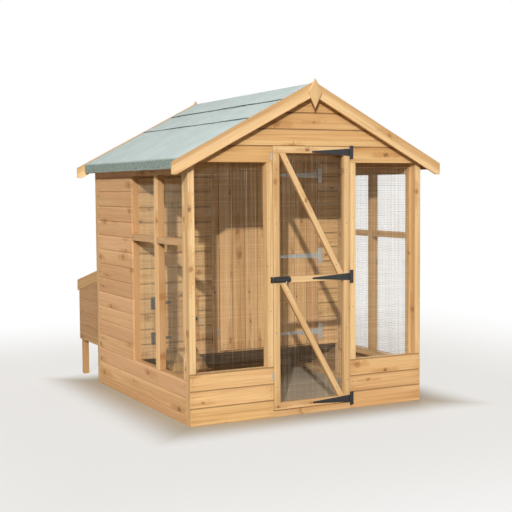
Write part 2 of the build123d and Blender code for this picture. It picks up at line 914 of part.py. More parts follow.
def lid_hinges():
    """Butt hinges between the rear wall and the top of the nest box lid."""
    along = (0, math.cos(lid_angle), -math.sin(lid_angle))
    pin_y = house_depth + pin_offset
    pin_z = lid_under(pin_y) + lid_depth + pin_offset / math.cos(lid_angle)
    fixed = []
    moving = []
    reach = nest_width - 2 * lid_hinge_inset
    flat = leaf_plate(lid_leaf_width, lid_leaf_height)
    for k in range(lid_hinge_count):
        x = nest_left + lid_hinge_inset + k * reach / (lid_hinge_count - 1)
        pin = (x, pin_y, pin_z)
        up = facing(pin, (0, 0, 1), (1, 0, 0))
        down = facing(pin, along, (-1, 0, 0))
        fixed.append(up * leaf(flat, outer_knuckles(lid_leaf_height, lid_knuckle)))
        half = lid_knuckle / 2 - knuckle_gap
        moving.append(down * leaf(flat, ((-half, half),)))
        pins.append(up * barrel(-lid_leaf_height / 2, lid_leaf_height / 2, pin_radius))
    return fixed, moving


# Doors
def run_door():
    left = doorway_left + door_gap
    right = doorway_right - door_gap
    low = threshold_height + door_bottom_gap
    high = doorway_head - door_gap
    y = (0, door_thick)
    inside = (left + stile_width, right - stile_width)
    top_z = (high - top_rail, high)
    mid_z = (mid_rail_low, mid_rail_low + mid_rail)
    low_z = (low, low + bottom_rail)
    stiles = []
    for x in ((left, inside[0]), (inside[1], right)):
        stiles.append(block(x, y, (low_z[1], top_z[0])))
    keep("run_door_stiles", stiles)
    rails = [block((left, right), y, top_z), block(inside, y, mid_z), block((left, right), y, low_z)]
    keep("run_door_rails", rails)
    braces = []
    for foot, head in ((mid_z[1], top_z[0]), (low_z[1], mid_z[0])):
        outline = [
            (inside[0], head),
            (inside[0] + brace_width, head),
            (inside[1], foot),
            (inside[1] - brace_width, foot),
        ]
        braces.append(prism_y(outline, (0, brace_thick)))
    keep("run_door_braces", braces)
    sheet = net((left + net_margin, right - net_margin), (low + net_margin, high - net_margin))
    keep("run_door_net", [Pos(0, door_thick, 0) * sheet])
    heights = (
        doorway_head - run_hinge_drop,
        mid_rail_low + run_hinge_above_rail,
        threshold_height + run_hinge_rise,
    )
    plates, straps = tee_hinges(heights, doorway_right - door_gap / 2, 0, 1, run_plate_width,
                                run_plate_height, run_strap_length, run_strap_root, run_strap_tip)
    keep("run_hinge_plates", plates)
    keep("run_hinge_straps", straps)


def house_door():
    left = house_doorway_left + door_gap
    right = house_doorway_right - door_gap
    z = (house_doorway_low + door_gap, house_doorway_head - door_gap)
    width = (right - left) / house_door_boards
    back = run_depth + board_thick
    boards = []
    for k in range(house_door_boards):
        x0 = left + k * width
        x1 = x0 + width
        outline = [
            (x0, run_depth + vee_cut),
            (x0 + vee_cut, run_depth),
            (x1 - vee_cut, run_depth),
            (x1, run_depth + vee_cut),
            (x1, back),
            (x0, back),
        ]
        boards.append(prism_z(outline, z))
    keep("house_door_boards", boards)
    x = (left + ledge_inset, right - ledge_inset)
    y = (back, back + ledge_thick)
    lows = (
        house_doorway_low + house_ledge_rise,
        house_ledge_middle,
        house_doorway_head - house_ledge_drop,
    )
    ledges = [block(x, y, (low, low + ledge_height)) for low in lows]
    for low, high in zip(lows[:-1], lows[1:]):
        outline = [
            (x[1], low + ledge_height),
            (x[1] - ledge_height, low + ledge_height),
            (x[0], high),
            (x[0] + ledge_height, high),
        ]
        ledges.append(prism_y(outline, y))
    keep("house_door_ledges", ledges)
    heights = (
        house_doorway_head - house_hinge_drop,
        house_hinge_middle,
        house_doorway_low + house_hinge_rise,
    )
    plates, straps = tee_hinges(heights, house_doorway_right - door_gap / 2, run_depth, 1,
                                house_plate_width, house_plate_height, house_strap_length,
                                house_strap_root, house_strap_tip)
    keep("house_hinge_plates", plates)
    keep("house_hinge_straps", straps)


def pop_door():
    x = (pop_hole_left + door_gap, pop_hole_right - door_gap)
    back = run_depth + board_thick
    boards = []
    for low, high in courses(pop_hole_low + door_gap, pop_hole_head - door_gap, pop_hole_low):
        boards.append(board_across(run_depth, 1, x, (low, high)))
    inset = pop_batten_inset
    z = (pop_hole_low + inset, pop_hole_head - inset)
    for x0 in (x[0] + inset, x[1] - inset - pop_batten_width):
        boards.append(block((x0, x0 + pop_batten_width), (back, back + pop_batten_thick), z))
    keep("pop_door_boards", boards)
    heights = (pop_hole_head - pop_hinge_inset, pop_hole_low + pop_hinge_inset)
    plates, straps = tee_hinges(heights, pop_hole_left + door_gap / 2, run_depth, -1, pop_plate_width,
                                pop_plate_height, pop_strap_length, pop_strap_root, pop_strap_tip)
    keep("pop_hinge_plates", plates)
    keep("pop_hinge_straps", straps)
    crown = pop_knob_profile[-1][1]
    outline = Polyline((0, 0), *pop_knob_profile, (0, crown), close=True)
    turned = revolve(make_face(outline), Axis.Y)
    knob_place = Pos(x[1] - pop_knob_inset, run_depth, (pop_hole_low + pop_hole_head) / 2)
    keep("pop_door_knob", [knob_place * (Rot(180, 0, 0) * turned)])


# Turn buttons
def turn_button(x, face_y, z):
    """A zinc turn button, upright: two round ends and a narrower waist, bored for its screw."""
    reach = button_length / 2 - button_end
    flat = Circle(button_end)
    shape = Pos(0, reach) * flat + Pos(0, -reach) * flat + Rectangle(2 * button_waist, 2 * reach)
    shape = shape + Circle(button_end) - Circle(screw_radius + screw_clearance)
    solid = extrude(shape, button_thick)
    return Pos(x, face_y - button_lift, z) * (Rot(90, 0, 0) * solid)


def button_screw(x, face_y, z):
    """The screw that a turn button turns on, run into the timber behind the face."""
    head_low = 2 * button_lift + button_thick
    shank = barrel(-screw_depth, head_low, screw_radius)
    head = barrel(head_low, head_low + screw_head_height, screw_head_radius)
    return Pos(x, face_y, z) * (Rot(90, 0, 0) * one_solid(shank + head))


def buttons():
    run_x = doorway_left - button_offset
    house_x = house_doorway_left - button_offset
    pop_x = pop_hole_right + button_offset
    places = (
        ("run_button_top", run_x, 0, gable_bottom + run_button_rise),
        ("run_button_low", run_x, 0, front_sill_top - run_button_drop),
        ("house_button", house_x, run_depth, house_button_height),
        ("pop_button", pop_x, run_depth, pop_button_height),
    )
    screws = []
    for name, x, face_y, z in places:
        keep(name, [turn_button(x, face_y, z)])
        screws.append(button_screw(x, face_y, z))
    keep("button_screws", screws)


# Bolt of the run door
def run_bolt():
    left = doorway_left + door_gap + bolt_inset
    right = left + bolt_case_length
    half = bolt_case_width / 2
    tower = bolt_tower_width / 2
    knob_x = left + bolt_knob_at
    axis_y = -bolt_axis
    z = mid_rail_low + bolt_above_rail

    def rod(x0, x1, radius):
        return Pos((x0 + x1) / 2, axis_y, z) * (Rot(0, 90, 0) * Cylinder(radius, x1 - x0))

    def tower_block(x):
        arch = [
            (-bolt_plate, z - tower),
            (-bolt_plate - bolt_tower_rise / 2, z - tower),
            (-bolt_plate - bolt_tower_rise, z - tower / 2),
            (-bolt_plate - bolt_tower_rise, z + tower / 2),
            (-bolt_plate - bolt_tower_rise / 2, z + tower),
            (-bolt_plate, z + tower),
        ]
        return prism_x(arch, x)

    bore = bolt_radius + bolt_clearance
    case = block((left, right), (-bolt_plate, 0), (z - half, z + half)) + tower_block((left, right))
    case = case - rod(left - bolt_inset, right + bolt_inset, bore)
    slot_half = bolt_knob_radius + bolt_slot_slack
    slot_x = (knob_x - bolt_travel - slot_half, knob_x + slot_half)
    case = case - block(slot_x, (axis_y - slot_half, axis_y + slot_half), (z - half, z))
    keep("bolt_case", [case])

    keep_x = (doorway_left - keep_length, doorway_left)
    plate = block(keep_x, (-bolt_plate, 0), (z - half, z + half)) + tower_block(keep_x)
    half_bore = keep_bore / 2
    socket_x = (keep_x[0] - bolt_inset, keep_x[1] + bolt_inset)
    socket = block(socket_x, (axis_y - half_bore, axis_y + half_bore), (z - half_bore, z + half_bore))
    plate = plate - socket
    keep("bolt_keep", [plate])

    body = rod(left, right - bolt_spare, bolt_radius)
    knob = Pos(knob_x, axis_y, z - bolt_knob_drop / 2) * Cylinder(bolt_knob_radius, bolt_knob_drop)
    keep("run_bolt", [body + knob])


def build():
    front_wall()
    left_strips, left_net = side_wall(-1, "left")
    right_strips, right_net = side_wall(1, "right")
    keep("side_cover_strips", left_strips + right_strips)
    keep("side_nets", [left_net, right_net])
    rear_wall()
    partition()
    house_floor()
    perches()
    roof()
    felt()
    barges()
    nest_box()
    nest_lid()
    run_door()
    house_door()
    pop_door()
    fixed, moving = lid_hinges()
    keep("lid_hinge_leaves", fixed)
    keep("lid_hinge_flaps", moving)
    keep("hinge_pins", pins)
    buttons()
    run_bolt()


build()
for name, solids in nodes.items():
    placed = [Pos(0, front_shift, 0) * solid for solid in solids]
    shape = placed[0] if len(placed) == 1 else Compound(children=placed)
    export_step(shape, os.path.join("parts", name + ".step"))
print(len(nodes), "nodes,", sum(len(solids) for solids in nodes.values()), "solids")
print("front face of the front wall at y =", round(front_shift, 3))
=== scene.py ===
import json
from math import cos, pi, radians, sin, tan

import bmesh
import bpy
import numpy as np
from mathutils import Matrix, Vector


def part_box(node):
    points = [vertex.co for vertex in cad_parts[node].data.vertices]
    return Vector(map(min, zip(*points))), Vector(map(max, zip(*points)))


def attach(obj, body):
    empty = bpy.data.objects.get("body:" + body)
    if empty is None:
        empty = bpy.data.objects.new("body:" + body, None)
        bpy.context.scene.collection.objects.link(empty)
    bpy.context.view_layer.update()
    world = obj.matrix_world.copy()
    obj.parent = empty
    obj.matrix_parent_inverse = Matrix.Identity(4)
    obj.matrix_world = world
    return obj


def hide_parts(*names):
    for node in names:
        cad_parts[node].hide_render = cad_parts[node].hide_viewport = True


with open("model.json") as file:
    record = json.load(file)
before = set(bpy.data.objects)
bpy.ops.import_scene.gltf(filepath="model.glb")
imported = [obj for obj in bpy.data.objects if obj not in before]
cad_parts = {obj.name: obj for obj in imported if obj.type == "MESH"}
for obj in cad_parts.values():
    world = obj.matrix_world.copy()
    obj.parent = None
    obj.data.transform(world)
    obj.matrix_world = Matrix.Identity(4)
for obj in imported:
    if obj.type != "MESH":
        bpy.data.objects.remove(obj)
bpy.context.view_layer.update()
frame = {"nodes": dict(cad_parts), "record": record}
nodes = frame["nodes"]
bodyOf = {n: b for b, members in frame["record"]["behaviour"]["bodies"].items() for n in members}
slotOf = {s["node"]: s["material_slot"] for s in frame["record"]["subparts"]}
scene = bpy.context.scene
scene.view_settings.view_transform = "Standard"
print("frame loaded:", len(nodes), "nodes")

# the house in metres, as built: front is the y of the front wall's face, the laps are the lower edges of the
# felt's upper sheets and of its ridge cap, measured out from the ridge
house = {"front": -1.1525, "half": 0.915, "depth": 1.858, "run": 1.04, "eave": 1.7671, "pitch": 27.5,
         "deck": 0.012, "sheet": 0.003, "overhang": 0.066, "verge": 0.037, "upperLap": 0.480, "capLap": 0.232}
roofPitch = radians(house["pitch"])
slope = tan(roofPitch)
sheetRise = house["sheet"] / cos(roofPitch)
frontY = house["front"]
wallY = frontY + house["run"]
rearY = frontY + house["depth"]
ridgeZ = house["eave"] + slope * house["half"]


def plug(tree, node, inputs):
    for key, value in inputs.items():
        if isinstance(value, bpy.types.NodeSocket):
            tree.links.new(value, node.inputs[key])
        else:
            node.inputs[key].default_value = value


def addNode(tree, kind, inputs=None, **settings):
    node = tree.nodes.new(kind)
    for key, value in settings.items():
        setattr(node, key, value)
    plug(tree, node, inputs or {})
    return node


def calc(tree, what, a, b=0.0):
    return addNode(tree, "ShaderNodeMath", {0: a, 1: b}, operation=what).outputs[0]


def times(tree, value, *factors):
    for factor in factors:
        value = calc(tree, "MULTIPLY", value, factor)
    return value


def remap(tree, value, low, high, toLow=0.0, toHigh=1.0):
    inputs = {"Value": value, "From Min": low, "From Max": high, "To Min": toLow, "To Max": toHigh}
    return addNode(tree, "ShaderNodeMapRange", inputs, interpolation_type="SMOOTHSTEP").outputs[0]


def blendColour(tree, factor, a, b, how="MIX"):
    inputs = {0: factor, 6: a, 7: b}
    return addNode(tree, "ShaderNodeMix", inputs, data_type="RGBA", blend_type=how).outputs[2]


def paintOver(tree, colour, *coats):
    # each coat is how much of it shows and its colour
    for shows, tint in coats:
        colour = blendColour(tree, shows, colour, tint)
    return colour


def attribute(tree, name, output="Fac"):
    return addNode(tree, "ShaderNodeAttribute", attribute_name=name).outputs[output]


def objectPlace(tree):
    return addNode(tree, "ShaderNodeTexCoord").outputs["Object"]


def split(tree, vector):
    return addNode(tree, "ShaderNodeSeparateXYZ", {0: vector}).outputs[:]


def stretch(tree, parts, factors):
    scaled = [times(tree, p, f) for p, f in zip(parts, factors)]
    return addNode(tree, "ShaderNodeCombineXYZ", dict(zip("XYZ", scaled))).outputs[0]


def noise(tree, vector, scale=1.0, detail=2.0, rough=0.5):
    inputs = {"Vector": vector, "Scale": scale, "Detail": detail, "Roughness": rough}
    return addNode(tree, "ShaderNodeTexNoise", inputs).outputs["Fac"]


def cellPattern(tree, vector, scale, **settings):
    return addNode(tree, "ShaderNodeTexVoronoi", {"Vector": vector, "Scale": scale}, **settings).outputs


def cellLuck(tree, cells):
    return addNode(tree, "ShaderNodeSeparateColor", {0: cells["Color"]}).outputs


def startFinish(name):
    finish = bpy.data.materials.new(name)
    finish.use_nodes = True
    tree = finish.node_tree
    return finish, tree, tree.nodes["Principled BSDF"]


def bumpNormal(tree, height, strength, relief):
    inputs = {"Height": height, "Strength": strength, "Distance": relief}
    return addNode(tree, "ShaderNodeBump", inputs).outputs[0]


def rgb(r, g, b):
    return (r, g, b, 1.0)


midNoise = (0.3, 0.7)  # where most of a noise pattern's values lie

# softwood as all boards share it: three factors stretch a pattern along, across and into the board, two
# numbers are the ends of a ramp
softwood = {"knotPlan": (0.7, 1, 0), "knotRagged": (60, 60, 60), "knotUneven": (0.72, 1.28),
            "knotHeart": (0.35, 1.15), "rimInner": (0.6, 0.95), "rimOuter": (1.0, 1.3), "tail": (0.16, 1, 0),
            "halo": (0.5, 2.0), "haloFade": 0.14, "haloBend": 0.010, "haloDepth": 0.42, "knotDepth": 0.72,
            "rimDepth": 0.22, "rings": (0.03, 1, 1), "lateSharp": 2.4, "fibre": (6, 420, 420),
            "streak": (1.1, 52, 52), "drift": (0.8, 14, 14), "driftShare": 0.9, "toneShare": 0.42,
            "heartwood": (0.42, 0.92), "darkStreak": (0.50, 0.72), "lightStreak": (0.30, 0.46),
            "seamFrom": 0.0005, "soakLong": 0.08, "soakUneven": 0.05, "palest": 1.06, "toneShade": 0.14,
            "fibreShade": (0.88, 1.07), "glossSpread": (-0.07, 0.09), "lateRelief": 0.5, "rimRelief": 0.6,
            "relief": 0.0005, "sheen": 0.25}
ringShape = {"Distortion": 5.5, "Detail": 2.0, "Detail Scale": 0.32, "Detail Roughness": 0.55}


def knotMarks(tree, parts, look):
    # knots lie in some cells of a flat pattern: the knot itself, its dark rim, and a halo that is drawn out
    # along the grain and fades before it meets the border of its cell
    plan = stretch(tree, parts, softwood["knotPlan"])
    cells = cellPattern(tree, plan, look["knotCells"], voronoi_dimensions="2D")
    border = cellPattern(tree, plan, look["knotCells"], voronoi_dimensions="2D", feature="DISTANCE_TO_EDGE")
    luck = cellLuck(tree, cells)
    chosen = calc(tree, "GREATER_THAN", luck[0], look["knotRare"])
    ragged = noise(tree, stretch(tree, parts, softwood["knotRagged"]))
    uneven = remap(tree, ragged, *midNoise, *softwood["knotUneven"])
    size = remap(tree, luck[1], 0, 1, *look["knotSize"])
    near = times(tree, calc(tree, "DIVIDE", cells["Distance"], size), uneven)
    knot = times(tree, remap(tree, near, *softwood["knotHeart"], 1, 0), chosen)
    rimRise = remap(tree, near, *softwood["rimInner"])
    rim = times(tree, rimRise, remap(tree, near, *softwood["rimOuter"], 1, 0), chosen)
    ends = {0: plan, 1: cells["Position"]}
    fromKnot = addNode(tree, "ShaderNodeVectorMath", ends, operation="SUBTRACT").outputs[0]
    drawnOut = stretch(tree, split(tree, fromKnot), softwood["tail"])
    tail = addNode(tree, "ShaderNodeVectorMath", {0: drawnOut}, operation="LENGTH").outputs["Value"]
    tail = calc(tree, "DIVIDE", times(tree, tail, look["knotCells"]), size)
    halo = times(tree, remap(tree, times(tree, tail, uneven), *softwood["halo"], 1, 0), chosen)
    halo = times(tree, halo, remap(tree, border["Distance"], 0.0, softwood["haloFade"]))
    isDark = calc(tree, "GREATER_THAN", luck[2], look["knotDarkRare"])
    return knot, rim, halo, blendColour(tree, isDark, look["knot"], look["knotDark"])


def edgeStain(tree, streak, look):
    # darker along the seams between boards and where the ends soak up water
    plank, reach = (split(tree, attribute(tree, a, "Vector")) for a in ("plank", "reach"))
    side, end = (calc(tree, "SUBTRACT", reach[k], calc(tree, "ABSOLUTE", plank[k])) for k in (0, 1))
    uneven = softwood["soakUneven"]
    soaked = calc(tree, "ADD", end, remap(tree, streak, *midNoise, uneven, -uneven))
    seam = remap(tree, side, softwood["seamFrom"], look["seam"], 1, 0)
    soak = remap(tree, soaked, 0, softwood["soakLong"], look["endSoak"], 0)
    return times(tree, calc(tree, "MAXIMUM", seam, soak), reach[2])


def timberFinish(name, look):
    # softwood: growth rings round a pith beside the board, drawn out along the grain and bent round the knots
    finish, tree, shader = startFinish(name)
    tone, blush, paintedGrooveShade = (attribute(tree, a) for a in ("tone", "blush", "paintedGrooveShade"))
    parts = along, across, deep = split(tree, attribute(tree, "grain", "Vector"))
    knot, rim, halo, knotColour = knotMarks(tree, parts, look)
    bent = along, calc(tree, "ADD", across, times(tree, halo, softwood["haloBend"])), deep
    ringInputs = {"Vector": stretch(tree, bent, softwood["rings"]), "Scale": look["ringScale"], **ringShape}
    rings = addNode(tree, "ShaderNodeTexWave", ringInputs, wave_type="RINGS", rings_direction="X",
                    wave_profile="SAW").outputs["Fac"]
    late = calc(tree, "POWER", rings, softwood["lateSharp"])
    fibre = noise(tree, stretch(tree, parts, softwood["fibre"]))
    streak = noise(tree, stretch(tree, bent, softwood["streak"]), rough=0.6)
    drift = noise(tree, stretch(tree, bent, softwood["drift"]))
    redder = calc(tree, "ADD", times(tree, drift, softwood["driftShare"]),
                  times(tree, tone, softwood["toneShare"]))
    colour = blendColour(tree, remap(tree, redder, *softwood["heartwood"]), look["sap"], look["heart"])
    dark = remap(tree, streak, *softwood["darkStreak"], 0, look["streakDepth"])
    light = remap(tree, streak, *softwood["lightStreak"], look["streakDepth"], 0)
    colour = paintOver(tree, colour, (dark, look["late"]), (light, look["light"]),
                       (times(tree, late, look["ringDepth"]), look["late"]), (blush, look["blush"]),
                       (times(tree, halo, softwood["haloDepth"]), look["knotHalo"]),
                       (edgeStain(tree, streak, look), look["stain"]))
    # painted shade: the colour darkens in shiplap hollows and vee joints, down to grooveShade at the deepest
    paler = calc(tree, "SUBTRACT", softwood["palest"], times(tree, tone, softwood["toneShade"]))
    shade = times(tree, remap(tree, fibre, 0.25, 0.75, *softwood["fibreShade"]), paler,
                  remap(tree, paintedGrooveShade, 0.1, 1.0, 1.0, look["grooveShade"]))
    grey = addNode(tree, "ShaderNodeCombineColor", {0: shade, 1: shade, 2: shade}).outputs[0]
    colour = blendColour(tree, 1.0, colour, grey, "MULTIPLY")
    colour = paintOver(tree, colour, (times(tree, knot, softwood["knotDepth"]), knotColour),
                       (times(tree, rim, softwood["rimDepth"]), look["knotDark"]))
    smooth, coarse = (look["rough"] + v for v in softwood["glossSpread"])
    raised = calc(tree, "ADD", fibre, times(tree, late, softwood["lateRelief"]))
    height = calc(tree, "SUBTRACT", raised, times(tree, rim, softwood["rimRelief"]))
    plug(tree, shader, {"Base Color": colour, "Roughness": remap(tree, fibre, 0.2, 0.8, smooth, coarse),
                        "Normal": bumpNormal(tree, height, look["bump"], softwood["relief"]),
                        "Specular IOR Level": softwood["sheen"]})
    return finish


timberLooks = {
    "cladding_boards": {
        "sap": rgb(0.83, 0.555, 0.255), "heart": rgb(0.69, 0.395, 0.155), "late": rgb(0.47, 0.22, 0.075),
        "light": rgb(0.89, 0.65, 0.34), "blush": rgb(0.78, 0.44, 0.245), "stain": rgb(0.42, 0.19, 0.06),
        "knotHalo": rgb(0.50, 0.23, 0.075), "knot": rgb(0.36, 0.15, 0.05), "knotDark": rgb(0.13, 0.05, 0.02),
        "knotCells": 5.2, "knotRare": 0.36, "knotDarkRare": 0.78, "knotSize": (0.045, 0.105),
        "ringScale": 48.0, "ringDepth": 0.34, "streakDepth": 0.46, "grooveShade": 0.55, "seam": 0.007,
        "endSoak": 0.5, "rough": 0.66, "bump": 0.45},
    "sawn_timber": {
        "sap": rgb(0.84, 0.595, 0.315), "heart": rgb(0.69, 0.425, 0.185), "late": rgb(0.50, 0.25, 0.09),
        "light": rgb(0.89, 0.68, 0.395), "blush": rgb(0.70, 0.42, 0.22), "stain": rgb(0.52, 0.27, 0.095),
        "knotHalo": rgb(0.50, 0.24, 0.08), "knot": rgb(0.36, 0.155, 0.052),
        "knotDark": rgb(0.14, 0.055, 0.022), "knotCells": 5.6, "knotRare": 0.45, "knotDarkRare": 0.72,
        "knotSize": (0.045, 0.085),
        "ringScale": 55.0, "ringDepth": 0.34, "streakDepth": 0.50, "grooveShade": 0.5, "seam": 0.005,
        "endSoak": 0.7, "rough": 0.68, "bump": 0.45},
    "inner_timber": {
        "sap": rgb(0.70, 0.46, 0.215), "heart": rgb(0.56, 0.335, 0.14), "late": rgb(0.42, 0.215, 0.08),
        "light": rgb(0.78, 0.55, 0.28), "blush": rgb(0.56, 0.31, 0.15), "stain": rgb(0.36, 0.17, 0.06),
        "knotHalo": rgb(0.42, 0.20, 0.07), "knot": rgb(0.31, 0.135, 0.05), "knotDark": rgb(0.12, 0.045, 0.02),
        "knotCells": 4.6, "knotRare": 0.45, "knotDarkRare": 0.75, "knotSize": (0.040, 0.080),
        "ringScale": 50.0, "ringDepth": 0.32, "streakDepth": 0.42, "grooveShade": 0.45, "seam": 0.006,
        "endSoak": 0.6, "rough": 0.74, "bump": 0.5},
}
timber = {slot: timberFinish(slot, look) for slot, look in timberLooks.items()}

# laps: distance from the ridge and how dark the bitumen along it is
feltLook = {"pale": rgb(0.62, 0.70, 0.68), "deep": rgb(0.54, 0.625, 0.605), "run": rgb(0.67, 0.74, 0.715),
            "speck": rgb(0.24, 0.33, 0.31), "foldDark": rgb(0.165, 0.215, 0.195),
            "foldPale": rgb(0.38, 0.46, 0.42), "rim": rgb(0.62, 0.68, 0.63),
            "bitumen": rgb(0.035, 0.045, 0.045), "gritScale": 420.0, "speckDepth": 0.45, "cloudScale": 5.0,
            "runs": (1.4, 30, 1.4), "runDepth": 0.30, "fluff": (150, 150, 45), "squeeze": (0, 11, 0),
            "bleed": 0.009, "lapStart": (-0.004, -0.002), "lapStop": (-0.002, 0.001),
            "laps": ((house["upperLap"], 0.5), (house["capLap"], 0.85)),
            "rough": (0.86, 0.97), "foldRelief": 5.0, "bump": 0.55, "relief": 0.0008, "sheen": 0.2}


def feltFinish(name, look):
    # mineral felt: coloured stone grit pressed into bitumen, faint runs down the slope, bitumen squeezed out
    # along the laps, a darker and fibrous turned-down edge
    finish, tree, shader = startFinish(name)
    fold, rim = attribute(tree, "fold"), attribute(tree, "rim")
    place = objectPlace(tree)
    parts = split(tree, place)
    speck = cellLuck(tree, cellPattern(tree, place, look["gritScale"]))[0]
    cloud = noise(tree, place, look["cloudScale"], 4.0, 0.6)
    runs, fluff = (noise(tree, stretch(tree, parts, look[k]), 1.0, 3.0, 0.6) for k in ("runs", "fluff"))
    squeeze = noise(tree, stretch(tree, parts, look["squeeze"]), 1.0, 3.0, 0.65)
    bleed = remap(tree, squeeze, 0.42, 0.66, 0.0, look["bleed"])
    colour = blendColour(tree, remap(tree, cloud, *midNoise), look["pale"], look["deep"])
    turned = blendColour(tree, remap(tree, fluff, 0.36, 0.64), look["foldDark"], look["foldPale"])
    colour = paintOver(tree, colour, (remap(tree, runs, 0.45, 0.8, 0, look["runDepth"]), look["run"]),
                       (remap(tree, speck, 0.55, 1.0, 0, look["speckDepth"]), look["speck"]), (fold, turned),
                       (times(tree, rim, remap(tree, fluff, 0.35, 0.6)), look["rim"]))
    away = calc(tree, "ABSOLUTE", parts[0])
    for lap, strength in look["laps"]:
        past = calc(tree, "SUBTRACT", away, lap)
        spent = remap(tree, calc(tree, "SUBTRACT", past, bleed), *look["lapStop"], strength, 0)
        line = times(tree, remap(tree, past, *look["lapStart"]), spent)
        colour = blendColour(tree, line, colour, look["bitumen"])
    height = calc(tree, "ADD", speck, times(tree, fluff, fold, look["foldRelief"]))
    plug(tree, shader, {"Base Color": colour, "Roughness": remap(tree, speck, 0, 1, *look["rough"]),
                        "Normal": bumpNormal(tree, height, look["bump"], look["relief"]),
                        "Specular IOR Level": look["sheen"]})
    return finish


metalLooks = {
    "black_iron": {"base": rgb(0.014, 0.014, 0.016), "other": rgb(0.022, 0.022, 0.025),
                   "worn": rgb(0.05, 0.05, 0.052), "cells": 90.0, "patches": 40.0, "wear": 0.5,
                   "gloss": 0.40, "metal": 0.0},
    "dark_iron": {"base": rgb(0.05, 0.058, 0.066), "other": rgb(0.07, 0.08, 0.088),
                  "worn": rgb(0.12, 0.12, 0.12), "cells": 90.0, "patches": 40.0, "wear": 0.5,
                  "gloss": 0.42, "metal": 0.0},
    "galvanised_steel": {"base": rgb(0.48, 0.50, 0.49), "other": rgb(0.60, 0.62, 0.60),
                         "worn": rgb(0.40, 0.40, 0.38), "cells": 120.0, "patches": 30.0, "wear": 0.6,
                         "gloss": 0.52, "metal": 0.6},
    "bright_zinc": {"base": rgb(0.46, 0.45, 0.42), "other": rgb(0.60, 0.59, 0.56),
                    "worn": rgb(0.44, 0.42, 0.38), "cells": 200.0, "patches": 60.0, "wear": 0.5,
                    "gloss": 0.38, "metal": 0.8},
}
nailLook = {"base": rgb(0.07, 0.05, 0.04), "other": rgb(0.10, 0.07, 0.05), "worn": rgb(0.16, 0.075, 0.035),
            "cells": 150.0, "patches": 60.0, "wear": 0.8, "gloss": 0.6, "metal": 0.3}
bitumenLook = {"base": rgb(0.03, 0.032, 0.032), "other": rgb(0.045, 0.048, 0.046),
               "worn": rgb(0.10, 0.11, 0.10), "cells": 300.0, "patches": 30.0, "wear": 0.6,
               "gloss": 0.8, "metal": 0.0}
plated = {"worn": (0.58, 0.8), "glossSpread": (-0.06, 0.1), "bump": 0.2, "relief": 0.0004}


def dullPatches(tree, patch, gloss, spread):
    return remap(tree, patch, *midNoise, gloss + spread[0], gloss + spread[1])


def metalFinish(name, look):
    # drawn or plated metal: base colour broken by spangle cells, dull patches in the gloss
    finish, tree, shader = startFinish(name)
    place = objectPlace(tree)
    spangle = cellLuck(tree, cellPattern(tree, place, look["cells"]))[0]
    patch = noise(tree, place, look["patches"], 3.0, 0.6)
    colour = blendColour(tree, remap(tree, spangle, 0, 1), look["base"], look["other"])
    colour = blendColour(tree, remap(tree, patch, *plated["worn"], 0, look["wear"]), colour, look["worn"])
    rough = dullPatches(tree, patch, look["gloss"], plated["glossSpread"])
    plug(tree, shader, {"Base Color": colour, "Roughness": rough, "Metallic": look["metal"],
                        "Normal": bumpNormal(tree, patch, plated["bump"], plated["relief"])})
    return finish


wireLook = {"paintedDimColour": rgb(0.20, 0.15, 0.085), "bright": rgb(1.0, 0.90, 0.68), "rust": rgb(0.30, 0.19, 0.10),
            "patches": 9.0, "rusty": (0.55, 0.75), "rustDepth": 0.6, "gloss": 0.42,
            "glossSpread": (-0.06, 0.12), "metal": 0.25}


def wireFinish(name, look):
    # welded wire: each wire painted between a dim shaded colour and a bright glint colour by its own random
    # level, a painted shade and painted glint, browned in patches
    finish, tree, shader = startFinish(name)
    patch = noise(tree, objectPlace(tree), look["patches"], 3.0, 0.6)
    colour = blendColour(tree, attribute(tree, "paintedShine"), look["paintedDimColour"], look["bright"])
    colour = blendColour(tree, remap(tree, patch, *look["rusty"], 0, look["rustDepth"]), colour, look["rust"])
    rough = dullPatches(tree, patch, look["gloss"], look["glossSpread"])
    plug(tree, shader, {"Base Color": colour, "Roughness": rough, "Metallic": look["metal"]})
    return finish


wireZinc = wireFinish("galvanised_netting", wireLook)
roofFelt = feltFinish("mineralFelt", feltLook)
metals = {slot: metalFinish(slot, look) for slot, look in metalLooks.items()}
nailSteel = metalFinish("nailSteel", nailLook)
bitumen = metalFinish("bitumenEdge", bitumenLook)
print("finishes made")


def makePiece(name, points, faceSets, finish, body, slot, hides=()):
    mesh = bpy.data.meshes.new(name)
    faces = [face for part in faceSets for face in part.tolist()]
    mesh.from_pydata(points.reshape(-1, 3).tolist(), [], faces)
    mesh.update()
    piece = bpy.data.objects.new(name, mesh)
    scene.collection.objects.link(piece)
    mesh.materials.append(finish)
    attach(piece, body)
    if hides:
        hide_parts(*hides)
    return piece


def addColumn(mesh, word, values):
    # one value, or one vector, for each vertex
    kind, field = ("FLOAT_VECTOR", "vector") if values.shape[-1:] == (3,) else ("FLOAT", "value")
    mesh.attributes.new(word, kind, "POINT").data.foreach_set(field, values.ravel())


def shadeSmooth(mesh):
    mesh.polygons.foreach_set("use_smooth", np.ones(len(mesh.polygons), bool))


def joinShells(shells):
    # the points of all shells in one array, their faces counted on from shell to shell
    starts = np.cumsum([0] + [len(points) for points, _ in shells[:-1]])
    faceSets = [faces + start for (_, faces), start in zip(shells, starts)]
    return np.concatenate([points for points, _ in shells]), faceSets


def workMesh(mesh, change):
    shell = bmesh.new()
    shell.from_mesh(mesh)
    change(shell)
    shell.to_mesh(mesh)
    shell.free()


weld = 1e-5
flatEnough = 0.98  # cosine between two faces that count as one
muchLonger = 1.6


